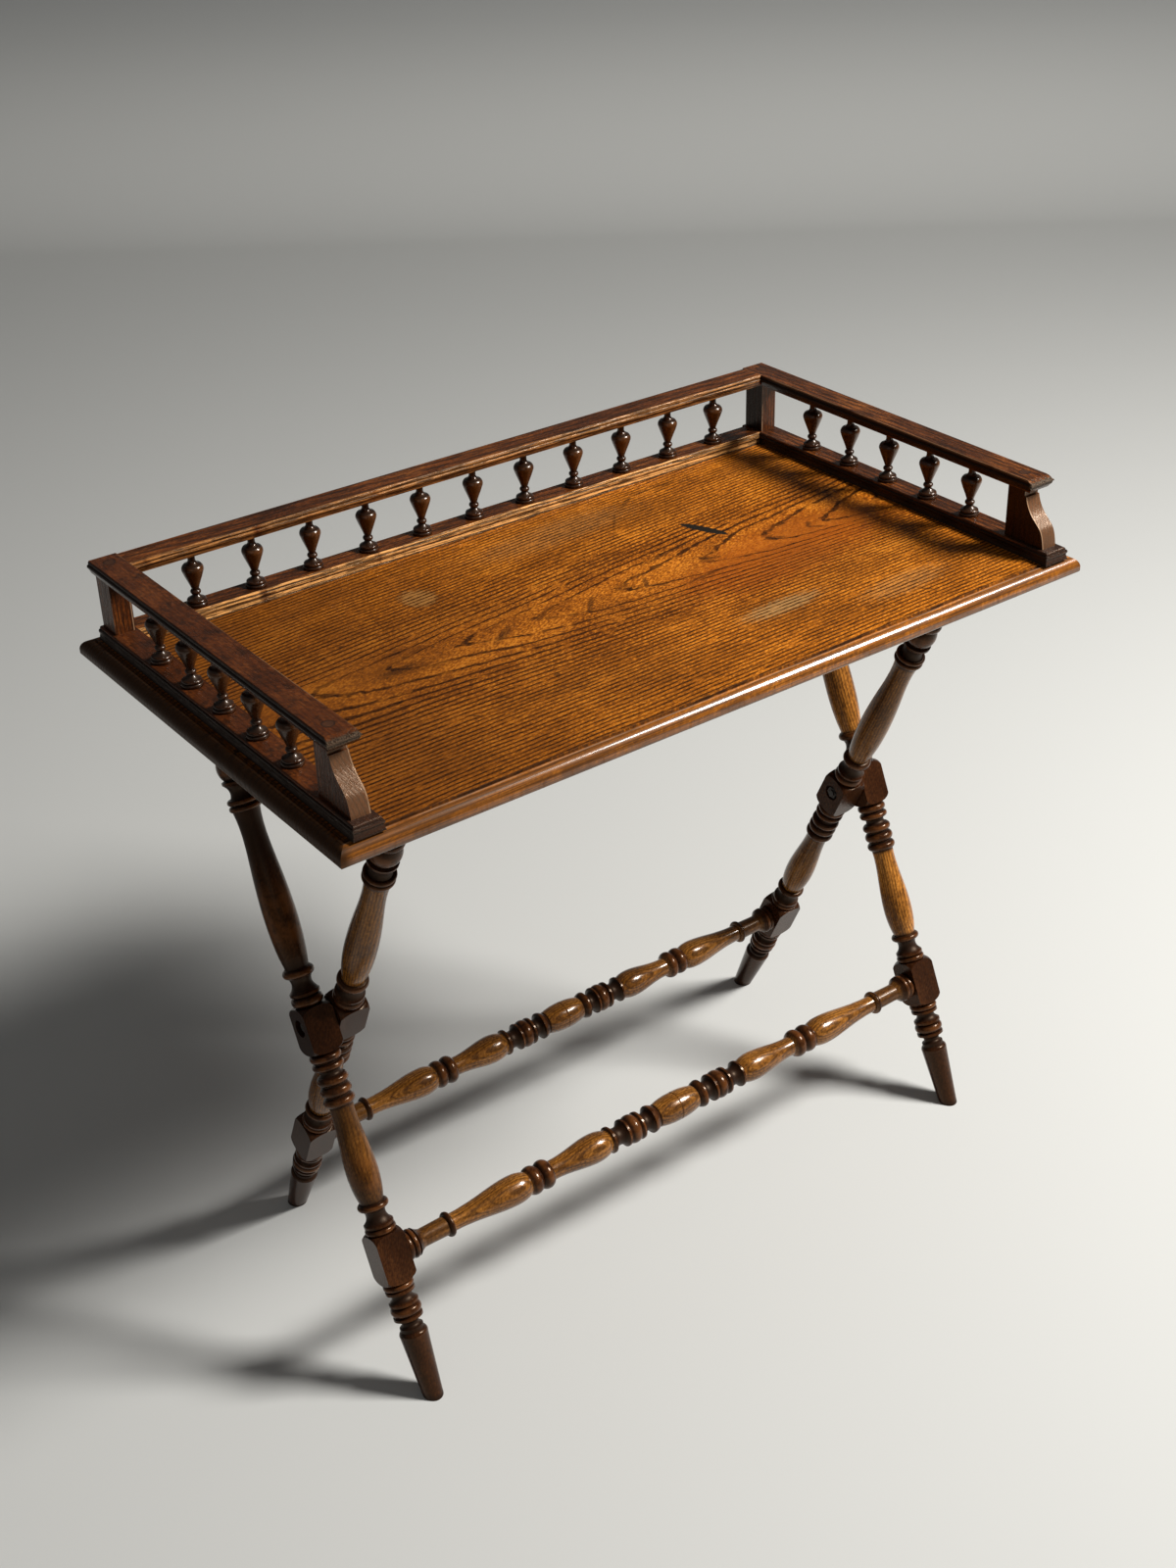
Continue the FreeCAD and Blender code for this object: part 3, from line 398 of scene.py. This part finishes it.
def board_edge(paint, body, x, z, inward, nose, ragged, worn, scars):
    """Dirt in the quirk, a pale lip beside it that is a painted highlight, a left end and lower
    edge darkened as painted shade, and scars along the nose.
    """
    quirk = inward.hump(moulding_mm - 1.0, moulding_mm + 1.4, 0.7) * ragged.rise(0.30, 0.55)
    body = paint.lay(body, quirk * 0.75, quirk_dirt)
    # Painted highlight: a pale line beside the quirk, where the edge of the groove would catch the
    # lamp.
    lip = inward.hump(moulding_mm - 3.2, moulding_mm - 1.9, 0.5) * worn.rise(0.34, 0.52)
    body = paint.lay(body, lip * 0.45, painted_glint_lip)
    # Painted shade: the left end of the board, away from the lamp, is laid near black.
    left_end_shade = 1 - x.rise(-half_board_mm[0] + 3.0, -half_board_mm[0] + 16.0)
    body = paint.lay(body, left_end_shade * 0.90, painted_shade_end)
    body = paint.lay(body, nose * scars * 0.70, scar_brown)
    # Painted shade: the lower edge and underside of the board are darkened.
    below = 1 - z.rise(board_top_mm - 16.0, board_top_mm - 13.0)
    return paint.lay(body, below * 0.55, painted_shade_underside), left_end_shade


# %% Golden oak for the board
def board_oak():
    paint = Paint("board oak")
    x, y, z = paint.place()
    wood, aside = board_figure(paint, x, y, z)
    point = paint.node("CombineXYZ", inputs={0: x, 1: y, 2: 0.0})
    ragged = paint.noise(x / 5.0, y / 4.0, 1.0, detail=4.0, roughness=0.65)
    worn = paint.noise(x / 120.0, y / 60.0, 5.0, detail=5.0, roughness=0.6)
    scars = paint.noise(x / 150.0, y / 1.8, z / 1.4, roughness=0.65).rise(0.46, 0.58)
    rings = ring_darkness(paint, x, y, wood, aside)
    inward = (half_board_mm[1] - abs(y)).least(half_board_mm[0] - abs(x))
    nose = 1 - inward.rise(moulding_mm * 0.55, moulding_mm * 0.85)
    body = board_body(paint, x, y, wood, aside, point, ragged)
    body = paint.lay(body, nose * 0.60, nose_brown)
    body = paint.lay(body, rings * (1 - nose * 0.5), ring_black)
    body = paint.lay(body, wood["pores"] * 0.50, pore_brown)
    for *shape, strength in dark_marks:
        mark = smudge(paint, point, ragged, *shape) * (0.70 + wood["pores"] * 0.5) * strength
        body = paint.lay(body, mark, mark_black)
    slip = smudge(paint, point, ragged * 0.4 + 0.3, *stain_slip, sharp=0.85)
    body = paint.lay(body, slip * 0.99, stain_black)
    body, left_end_shade = board_edge(paint, body, x, z, inward, nose, ragged, worn, scars)
    rough = 0.30 + worn * 0.20 + wood["pores"] * 0.10 + rings * 0.10 + slip * 0.1 - nose * 0.12
    height = (wood["fleck"] * 0.10 - wood["pores"] * 0.10 - rings * 0.20) * (1 - nose * 0.7)
    varnish = nose * (1 - left_end_shade) * ragged.rise(0.25, 0.50) * 0.9
    return paint.finish(body, rough, height, relief=0.55, Specular_IOR_Level=0.14,
                        Specular_Tint=polish_tint, Coat_Weight=varnish, Coat_Roughness=0.14)


def dress(names, material):
    """Give one material to several solid pieces."""
    for name in names:
        slots = nodes[name].data.materials
        slots.clear()
        slots.append(material)
    print(material.name, "on", len(names), "pieces,", len(material.node_tree.nodes), "nodes")


dress(["tray_board"], board_oak())

# %% [markdown]
# ## The gallery
#
# The rails, posts and brackets are a darker oak, stained red-brown and polished by hands.
# Each could have a material of its own, but the wood is the same, so one recipe with a few
# settings serves them all. Each piece was cut with its grain along its length, so the recipe is
# given a grain direction: X for the back rails, Y for the side rails, and Z for posts and
# brackets. The moulding along the front of the back rails is golden, partly worn through to
# golden wood and partly painted highlight.
#
# The left top rail was sawn close to the heart of a branch, so dark flames follow each other
# along its top. Wear and painted light show too: thin pale lines on the edges, partly worn by
# hands and trays and partly painted highlight, paler fronts on the brackets, which are painted
# light, and open end grain where the side rails end at the front. Faces that look to the left,
# away from the lamp, are laid near black as painted shade.

# %% Places and colours on the gallery
rail_low, rail_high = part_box("gallery_bottom_rail_back")
golden_front_mm = rail_low.y * mm_per_metre + 3.6
golden_below_mm = rail_high.z * mm_per_metre + 2.0
side_low, side_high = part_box("gallery_top_rail_right")
side_middle_mm = (side_low.x + side_high.x) / 2 * mm_per_metre
side_front_mm = side_low.y * mm_per_metre
rail_top_mm = side_high.z * mm_per_metre
rail_height_mm = (side_high.z - side_low.z) * mm_per_metre
rail_edge_mm = 14.3
post_edge_mm = 10.5
bracket_edge_mm = 9.75
face_inset_mm = 0.4
quirk_shares = (0.43, 0.765)

golden_wear_and_highlight = (0.840, 0.4000, 0.1200)
line_black = (0.0150, 0.0062, 0.0036)
streak_black = (0.0130, 0.0054, 0.0032)
pore_black = (0.0120, 0.0052, 0.0032)
quirk_black = (0.012, 0.0056, 0.0034)
painted_shade_black = (0.0070, 0.0034, 0.0024)
edge_wear_and_highlight = (0.260, 0.1300, 0.0600)
end_light = (0.095, 0.0660, 0.0420, 1.0)
end_pore = (0.016, 0.0100, 0.0070, 1.0)
lower_end = (0.020, 0.0120, 0.0090)
lit_face_colour = (0.170, 0.0960, 0.0520)
bracket_wear_and_highlight = (0.420, 0.2600, 0.1500)
print("rubbed moulding: in front of y =", round(golden_front_mm, 1), "mm")


# %% Stain, rubbed moulding and dirty quirks
def stained_body(paint, wood, lighter):
    """Three browns by cloud and fleck; lighter moves them towards golden."""
    dark = (0.024 + lighter * 0.034, 0.0066 + lighter * 0.007, 0.0026)
    middle = (0.072 + lighter * 0.130, 0.0175 + lighter * 0.037, 0.0046 + lighter * 0.005)
    bright = (0.165 + lighter * 0.240, 0.0460 + lighter * 0.090, 0.0105 + lighter * 0.015)
    tone = wood["cloud"] * 0.60 + wood["fleck"] * 0.40
    return paint.ramp(tone, [(0.34, dark), (0.52, middle), (0.70, bright)])


def lay_golden_moulding(paint, body, x, y, z, rubbed_and_lit):
    """Golden wood on the front moulding, most of all on the bottom rail: partly worn, partly
    painted highlight.
    """
    # The golden front moulding is partly worn wood and partly painted highlight on faces towards
    # the lamp.
    near = 1 - y.rise(golden_front_mm - 0.6, golden_front_mm + 0.8)
    share = 0.30 + (1 - z.rise(golden_below_mm, golden_below_mm + 5.0)) * 0.65
    patchy = paint.noise(x / 30.0, y / 30.0, 4.0, detail=4.0, roughness=0.6).rise(0.26, 0.46)
    return paint.lay(body, near * share * patchy * rubbed_and_lit, golden_wear_and_highlight)


def fill_quirks(paint, body, z):
    """Dirt in the two quirks of each rail and where the bottom rail stands on the board."""
    quirks = 1 - (z - board_top_mm).rise(1.2, 2.0)
    for base_mm in (board_top_mm, rail_top_mm - rail_height_mm):
        for height_share in quirk_shares:
            middle_mm = base_mm + rail_height_mm * height_share
            quirks = quirks.most(z.hump(middle_mm - 0.2, middle_mm + 0.2, 0.6))
    above_board = z.rise(board_top_mm - 1.0, board_top_mm)
    return paint.lay(body, quirks * above_board * 0.85, quirk_black)


# %% Wear on side rails, posts and brackets
def wear_side_rail(paint, body, x, y, z, from_middle, worn):
    """A pale line on the inner edge, partly wear and partly painted highlight, dotted end grain
    above and a dark end below.
    """
    # The pale line on the inner edge is partly worn wood and partly painted highlight.
    edge = (from_middle + rail_edge_mm).hump(-0.7, 0.5, 0.4)
    edge = edge * z.rise(rail_top_mm - 2.0, rail_top_mm - 1.0)
    body = paint.lay(body, edge * worn.rise(0.36, 0.56) * 0.7, edge_wear_and_highlight)
    dots = paint.noise(x / 0.9, y / 3.0, z / 0.9, detail=2.0).rise(0.46, 0.56)
    end = 1 - y.rise(side_front_mm + 2.0, side_front_mm + 4.5)
    upper = z.rise(rail_top_mm - 20.0, rail_top_mm - 15.0)
    body = paint.mix(end * upper * 0.85, body, paint.mix(dots, end_light, end_pore))
    return paint.lay(body, end * (1 - upper) * 0.75, lower_end)


def wear_upright(paint, body, from_middle, worn, front):
    """A pale line on the inner edge, partly wear and partly painted highlight, and with front a
    paler face that looks to the front, which is painted light.
    """
    # Painted light: faces that look to the front, towards the lamp, are laid paler.
    if front:
        normal = paint.node("TexCoord", output="Normal")
        backward = paint.node("SeparateXYZ", inputs={0: normal}, output="Y")
        body = paint.lay(body, (-backward).rise(0.25, 0.70) * front, lit_face_colour)
    # The pale line on the inner edge is partly worn wood and partly painted highlight.
    edge = (from_middle + bracket_edge_mm).hump(0.45, 1.1, 0.3) * worn.rise(0.30, 0.50)
    return paint.lay(body, edge * 0.75, bracket_wear_and_highlight)


# %% Red-brown oak for rails, posts and brackets
def gallery_oak(name, grain, lighter=0.0, rubbed_and_lit=0.0, flames=False, streaky=0.80,
                shade_left_of_mm=None, front=0.0, shine=0.26):
    """The figure runs along one axis, 0 for X, 1 for Y and 2 for Z."""
    paint = Paint(name)
    x, y, z = place = paint.place()
    along = place[grain]
    first, second = [place[i] for i in range(3) if i != grain]
    from_middle = abs(x) - side_middle_mm
    across, depth = first * 0.9 + 61.0, second - 37.0 + along * 0.02
    if flames:
        across, depth = from_middle * 0.55, along * 0.085 - second + (rail_top_mm + 34.0)
    wood = oak_figure(paint, along, across, depth, 3.4, line_share=0.24, waver=0.6,
                      dash_mm=30.0, seed=grain * 3.7)
    body = stained_body(paint, wood, lighter)
    if rubbed_and_lit:
        body = lay_golden_moulding(paint, body, x, y, z, rubbed_and_lit)
    line = wood["line"] * 0.62
    if flames:
        broken = paint.noise(along / 16.0, x / 9.0, 6.0, roughness=0.6)
        line = line * broken.rise(0.44, 0.58)
    streak = paint.noise(along / 30.0, first / 1.6, second / 1.6, roughness=0.65)
    streak = streak.rise(0.47, 0.56)
    body = paint.lay(body, line, line_black)
    body = paint.lay(body, streak * streaky, streak_black)
    body = paint.lay(body, wood["pores"] * 0.35, pore_black)
    worn = paint.noise(x / 60.0, y / 60.0, z / 25.0, detail=5.0, roughness=0.6)
    if grain < 2:
        body = fill_quirks(paint, body, z)
    # Painted shade: faces that look to the left, away from the lamp, are laid near black below the
    # top.
    if shade_left_of_mm is not None:
        darkening = x.hump(shade_left_of_mm - 6.0, shade_left_of_mm - 0.5, 0.5)
        darkening = darkening * (1 - z.rise(rail_top_mm - 1.5, rail_top_mm))
        body = paint.lay(body, darkening * 0.88, painted_shade_black)
    if grain == 1:
        body = wear_side_rail(paint, body, x, y, z, from_middle, worn)
    if grain == 2:
        body = wear_upright(paint, body, from_middle, worn, front)
    rough = 0.14 + worn * 0.16 + streak * 0.14
    height = wood["fleck"] * 0.05 - wood["pores"] * 0.08 - streak * (0.20 * streaky) - line * 0.16
    return paint.finish(body, rough, height, relief=0.6, Specular_IOR_Level=shine,
                        Specular_Tint=polish_tint)


# %% Dress the gallery
dress(["gallery_top_rail_back", "gallery_bottom_rail_back"],
      gallery_oak("gallery oak along X", 0, lighter=0.65, rubbed_and_lit=0.98, shine=0.18))
dress(["gallery_top_rail_left", "gallery_bottom_rail_left"],
      gallery_oak("gallery oak left", 1, lighter=0.09, flames=True, streaky=0.45,
                  shade_left_of_mm=-side_middle_mm - rail_edge_mm))
dress(["gallery_top_rail_right", "gallery_bottom_rail_right"],
      gallery_oak("gallery oak right", 1, lighter=0.48,
                  shade_left_of_mm=side_middle_mm - rail_edge_mm))
dress(["corner_post_left", "corner_post_right"],
      gallery_oak("post oak", 2, lighter=0.15,
                  shade_left_of_mm=side_middle_mm - post_edge_mm + face_inset_mm))
dress(["front_bracket_left", "front_bracket_right"],
      gallery_oak("bracket oak", 2, lighter=0.22, streaky=0.35, front=0.45,
                  shade_left_of_mm=side_middle_mm - bracket_edge_mm + face_inset_mm))

# %% [markdown]
# ## The turned pieces
#
# Legs, stretchers and spindles came off a lathe. Polish and dust collect in their grooves,
# and the swellings are paler, partly kept bright by hands and partly painted highlight, so the
# colour follows the shape. Ambient occlusion could find the grooves, but it is slow and grainy,
# and on turned work the distance to the axis tells a groove from a bead exactly. The place along
# the axis tells the long vases, which are pale, from the runs of beads, which are dark.

# %% Where the turnings are
lean = math.radians(24.35)
pivot_y_mm, pivot_z_mm = -23.0, 381.0
leg_axis_mm = {"outer_leg": 377.4, "inner_leg": 341.6}
leg_vases_mm = [(-194.0, -93.0), (64.0, 222.0)]
leg_blocks_mm = [(-286.0, -232.0), (-30.0, 20.0)]
leg_foot_mm = (-352.0, -346.0)
leg_groove_mm, leg_crest_mm = (12.2, 15.4), (15.2, 16.5)
stretcher_vases_share = [(0.268, 0.478), (0.570, 0.834)]
stretcher_neck_share = (0.860, 0.945)
stretcher_barrel_share = (0.070, 0.080)
stretcher_tenon_mm = 20.0
stretcher_groove_mm, stretcher_crest_mm = (11.0, 15.2), (14.6, 16.3)
print("lean of the legs:", round(math.degrees(lean), 2), "degrees")

# %% Colours of the turned work
dark_stops = [(0.38, (0.015, 0.0046, 0.0018)), (0.52, (0.036, 0.0112, 0.0036)),
              (0.66, (0.074, 0.0250, 0.0075))]
pale_stops = [(0.38, (0.075, 0.0270, 0.0050)), (0.50, (0.170, 0.0640, 0.0100)),
              (0.64, (0.300, 0.1220, 0.0210))]
turned_line = (0.0220, 0.0085, 0.0042)
turned_streak = (0.0200, 0.0080, 0.0040)
crest_copper_and_highlight = (0.170, 0.0560, 0.0130)
groove_dirt = (0.0110, 0.0046, 0.0026)
print("turned work:", len(dark_stops), "dark browns and", len(pale_stops), "pale ones")


# %% Dark polished oak for turned work
def turned_wood(paint, along, across, depth, pale, valley, crest, seed, gloss=0.10, lift=1.0,
                coat=0.0):
    """Oak with shares of pale body wood, of dirt in its valleys and of copper crests, partly worn
    and partly painted highlight.
    """
    wood = oak_figure(paint, along, across + 26.0, depth - 19.0, 2.9, line_share=0.26, waver=0.6,
                      seed=seed)
    tone = wood["cloud"] * 0.55 + wood["fleck"] * 0.45
    lifted = [(at, [part * lift for part in colour]) for at, colour in pale_stops]
    body = paint.mix(pale, paint.ramp(tone, dark_stops), paint.ramp(tone, lifted))
    streak = paint.noise(along / 22.0 + seed, across / 1.3, depth / 1.3, roughness=0.65)
    streak = streak.rise(0.52, 0.64)
    body = paint.lay(body, wood["line"] * (0.25 + pale * 0.30), turned_line)
    body = paint.lay(body, streak * (0.25 + pale * 0.25), turned_streak)
    smudged = paint.noise(along / 14.0 + seed, across / 14.0, depth / 14.0,
                          detail=4.0, roughness=0.6)
    # The copper on the crests is partly worn wood and partly painted highlight.
    rubbed_and_lit = crest * smudged.rise(0.34, 0.62)
    body = paint.lay(body, rubbed_and_lit * 0.55, crest_copper_and_highlight)
    dirt = (valley * (0.50 + smudged * 0.7)).clamped()
    body = paint.lay(body, dirt * 0.92, groove_dirt)
    rough = 0.14 + smudged * 0.10 + dirt * 0.30 + streak * 0.05
    height = wood["fleck"] * 0.03 - wood["pores"] * 0.04 - streak * 0.05
    polish = (pale + rubbed_and_lit * 0.5) * (1 - dirt) * gloss + coat
    return paint.finish(body, rough, height, relief=0.5, Specular_IOR_Level=0.26,
                        Specular_Tint=polish_tint, Coat_Weight=polish.clamped(),
                        Coat_Roughness=0.14)


# %% The legs
def leg_oak(kind, side, way):
    """A leg's oak: way is 1 where the leg leans back at the top and -1 where it leans forward."""
    paint = Paint("%s oak %s" % (kind.replace("_", " "), "left" if side < 0 else "right"))
    x, y, z = paint.place()
    from_y = y - pivot_y_mm
    from_z = z - pivot_z_mm
    along = from_z * math.cos(lean) + from_y * (way * math.sin(lean))
    depth = from_y * math.cos(lean) - from_z * (way * math.sin(lean))
    across = x - side * leg_axis_mm[kind]
    radius = (across * across + depth * depth).root()
    # Painted light and shade: the left outer leg keeps little pale wood, the upper vase least, as
    # painted shade; the right outer leg's pale wood is lifted brighter as painted light.
    low_share, high_share = (0.45, 0.04) if kind == "outer_leg" and side < 0 else (1.0, 1.0)
    lift = 2.2 if kind == "outer_leg" and side > 0 else 1.1
    low_vase, high_vase = [along.hump(*vase, 5.0) for vase in leg_vases_mm]
    low_block, high_block = [along.hump(*block, 1.0) for block in leg_blocks_mm]
    pale = (low_vase * low_share).most(high_vase * high_share)
    turned = (1 - pale) * (1 - low_block.most(high_block)) * along.rise(*leg_foot_mm)
    sole = 1 - z.rise(2.0, 7.0)
    valley = ((1 - radius.rise(*leg_groove_mm)) * turned).most(sole)
    crest = radius.rise(*leg_crest_mm) * turned
    return turned_wood(paint, along, across, depth, pale, valley, crest,
                       seed=side * 4.1 + way * 9.3, lift=lift)


for kind, way in (("outer_leg", 1), ("inner_leg", -1)):
    dress([kind + "_left"], leg_oak(kind, -1, way))
    dress([kind + "_right"], leg_oak(kind, 1, way))


# %% The stretchers
def stretcher_oak(kind, axis_y_mm, axis_z_mm, half_mm):
    """A stretcher's oak: its barrel and vases are pale, told by their share of half its length."""
    paint = Paint(kind.replace("_", " ") + " oak")
    x, y, z = paint.place()
    across = y - axis_y_mm
    depth = z - axis_z_mm
    radius = (across * across + depth * depth).root()
    share = abs(x) / half_mm
    inner_vase, outer_vase = [share.hump(*vase, 0.012) for vase in stretcher_vases_share]
    barrel = 1 - share.rise(*stretcher_barrel_share)
    neck = share.hump(*stretcher_neck_share, 0.010) * 0.6
    pale = inner_vase.most(outer_vase).most(barrel).most(neck)
    valley = (1 - radius.rise(*stretcher_groove_mm)) * (1 - pale)
    crest = radius.rise(*stretcher_crest_mm) * (1 - pale)
    return turned_wood(paint, x, across, depth, pale, valley, crest,
                       seed=axis_y_mm * 0.01, gloss=0.45, lift=1.32)


for kind in ("outer_stretcher", "inner_stretcher"):
    low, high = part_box(kind)
    middle = (low + high) / 2 * mm_per_metre
    half_mm = (high.x - low.x) / 2 * mm_per_metre - stretcher_tenon_mm
    dress([kind], stretcher_oak(kind, middle.y, middle.z, half_mm))

# %% [markdown]
# ## The spindles
#
# All spindles stand at the same height, so their dirt can follow Z alone: it sits around the
# foot disc, in the waist and under the top rail. Each groove has its lower and upper end above
# the foot, the width of its soft edge, and how full of dirt it is.

# %% Spindle oak
tenon_mm = 5.0
spindle_foot_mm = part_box("back_spindle_01")[0].z * mm_per_metre + tenon_mm
spindle_grooves = [(3.2, 4.2, 0.8, 1.0), (7.5, 12.0, 1.6, 1.0), (16.0, 19.0, 1.5, 0.8),
                   (43.4, 45.0, 1.0, 1.0), (50.5, 60.0, 2.5, 1.0)]
spindle_swelling = (24.0, 41.0, 4.0)


def spindle_oak():
    paint = Paint("spindle oak")
    x, y, z = paint.place()
    up = z - spindle_foot_mm
    valley, *others = [up.hump(*groove) * share for *groove, share in spindle_grooves]
    for groove in others:
        valley = valley.most(groove)
    crest = up.hump(*spindle_swelling) * 0.30
    return turned_wood(paint, z, x, y, crest * 0.3, valley, crest, seed=2.7, coat=0.45)


dress([name for name in nodes if "_spindle_" in name], spindle_oak())

# %% [markdown]
# ## Small and hidden parts
#
# The bearers and round rails under the board are plain oak. The plugs show end grain, where
# pores are dots, so nothing is stretched in the plane of the top, and dirt rings each plug.
# The bolts, nuts, washers and screws are old steel, dull and a little brown.

# %% End grain
plug_low, plug_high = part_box("rail_plugs")
plug_radius_mm = 6.0
plug_x_mm = plug_high.x * mm_per_metre - plug_radius_mm
plug_rows_mm = (plug_low.y * mm_per_metre + plug_radius_mm,
                plug_high.y * mm_per_metre - plug_radius_mm)
plug_stops = [(0.3, (0.035, 0.0120, 0.0050)), (0.7, (0.088, 0.0310, 0.0105))]
plug_pore = (0.012, 0.0055, 0.0030)
plug_rim = (0.008, 0.0045, 0.0030)


def plug_oak():
    """Dots for pores, and a dark rim at a share of the distance to the nearest plug's middle."""
    paint = Paint("plug end grain")
    x, y, z = paint.place()
    dots = paint.noise(x / 0.7, y / 0.7, z / 6.0, detail=2.0).rise(0.52, 0.64)
    cloud = paint.noise(x / 5.0, y / 5.0, z / 5.0)
    body = paint.lay(paint.ramp(cloud, plug_stops), dots * 0.7, plug_pore)
    out_x = abs(x) - plug_x_mm
    out_y = abs(y - plug_rows_mm[0]).least(abs(y - plug_rows_mm[1]))
    from_plug = (out_x * out_x + out_y * out_y).root()
    rim = from_plug.rise(plug_radius_mm * 0.70, plug_radius_mm * 0.92)
    body = paint.lay(body, rim * 0.85, plug_rim)
    return paint.finish(body, 0.38 + dots * 0.2, dots * -0.1, relief=0.5, Specular_IOR_Level=0.3)


dress(["rail_plugs", "rail_dowels"], plug_oak())

# %% Bearers, round rails and steel
bare_steel = (0.060, 0.0530, 0.0470, 1.0)
rusty_steel = (0.026, 0.0140, 0.0085, 1.0)
steel_pieces = ("pivot_", "rail_screws", "gallery_screws", "bearer_screws")


def old_steel():
    """Dull steel with rust where the noise is high."""
    paint = Paint("old steel")
    x, y, z = paint.place()
    cloud = paint.noise(x / 2.5, y / 2.5, z / 2.5, detail=5.0, roughness=0.65)
    rust = cloud.rise(0.50, 0.66)
    body = paint.mix(rust, bare_steel, rusty_steel)
    return paint.finish(body, 0.42 + rust * 0.35, cloud * 0.15, relief=0.4, Metallic=0.7)


dress(["tray_bearer_left", "tray_bearer_right"], gallery_oak("bearer oak along Y", 1, 0.8))
dress(["outer_top_rail", "inner_top_rail"], gallery_oak("top rail oak along X", 0, 0.5))
dress([name for name in nodes if name.startswith(steel_pieces)], old_steel())

# %% [markdown]
# ## Floor, wall and light
#
# Two planes would show a hard line where they meet, so the floor and the wall are one pale
# sheet, bent in a wide curve, as in a photographer's studio. One soft lamp stands high at the
# front right: the shadows on the floor of the photograph point away from there. A much weaker
# one fills from the left.

# %% A bent sheet for the floor and the wall
sheet_away = np.array([0.588, 0.809])
sheet_sideways = np.array([0.809, -0.588])


def studio_sheet(reach=9.0, wall_y=4.3, bend=0.5, height=6.0):
    """A profile of floor, quarter circle and wall, carried along a straight line."""
    quarter = np.linspace(0, np.pi / 2, 24)
    run = np.concatenate([[-reach], wall_y - bend + bend * np.sin(quarter), [wall_y]])
    rise = np.concatenate([[0.0], bend - bend * np.cos(quarter), [height]])
    side = np.array([-reach, reach])
    grid = np.zeros((len(run), len(side), 3))
    grid[..., :2] = run[:, None, None] * sheet_away + side[None, :, None] * sheet_sideways
    grid[..., 2] = rise[:, None]
    index = np.arange(grid.shape[0] * 2).reshape(-1, 2)
    faces = np.stack([index[:-1, 0], index[:-1, 1], index[1:, 1], index[1:, 0]], axis=-1)
    mesh = bpy.data.meshes.new("studio sheet")
    mesh.from_pydata(grid.reshape(-1, 3).tolist(), [], faces.tolist())
    mesh.polygons.foreach_set("use_smooth", np.ones(len(mesh.polygons), bool))
    sheet = bpy.data.objects.new("studio_sheet", mesh)
    bpy.context.scene.collection.objects.link(sheet)
    return sheet


# %% Paint the sheet
pale_floor = (0.60, 0.60, 0.575, 1.0)
grey_wall = (0.230, 0.234, 0.236, 1.0)
wall_starts_mm = (50.0, 900.0)


def sheet_paint():
    """Matt paint, pale on the floor and greyer up the wall."""
    paint = Paint("pale studio paint")
    height_mm = paint.place()[2]
    colour = paint.mix(height_mm.rise(*wall_starts_mm), pale_floor, grey_wall)
    return paint.finish(colour, 0.7, Specular_IOR_Level=0.08)


sheet = studio_sheet()
sheet.data.materials.append(sheet_paint())
print("studio sheet:", len(sheet.data.polygons), "faces")


# %% Lamps and the world
def soft_lamp(name, place, aim, size, watts, colour):
    """A square lamp that faces a point."""
    data = bpy.data.lights.new(name, "AREA")
    data.shape = "SQUARE"
    data.size = size
    data.energy = watts
    data.color = colour
    lamp = bpy.data.objects.new(name, data)
    lamp.location = place
    lamp.rotation_euler = (Vector(aim) - Vector(place)).to_track_quat("-Z", "Y").to_euler()
    bpy.context.scene.collection.objects.link(lamp)
    return lamp


table_middle = (0.0, 0.0, 0.5)
soft_lamp("key lamp", (2.29, -1.69, 3.20), table_middle, 0.94, 258.0, (1.0, 0.985, 0.965))
soft_lamp("fill lamp", (-2.2, -2.4, 2.2), table_middle, 2.2, 3.0, (1.0, 0.99, 0.98))
world = bpy.data.worlds.new("studio")
world.use_nodes = True
sky = world.node_tree.nodes["Background"].inputs
sky["Color"].default_value = (0.97, 0.985, 1.0, 1.0)
sky["Strength"].default_value = 0.11
bpy.context.scene.world = world
bpy.context.scene.view_settings.view_transform = "Standard"

# %% [markdown]
# ## Finish
#
# Here the scene is complete: the camera, the dressed table, the studio sheet and the lamps.
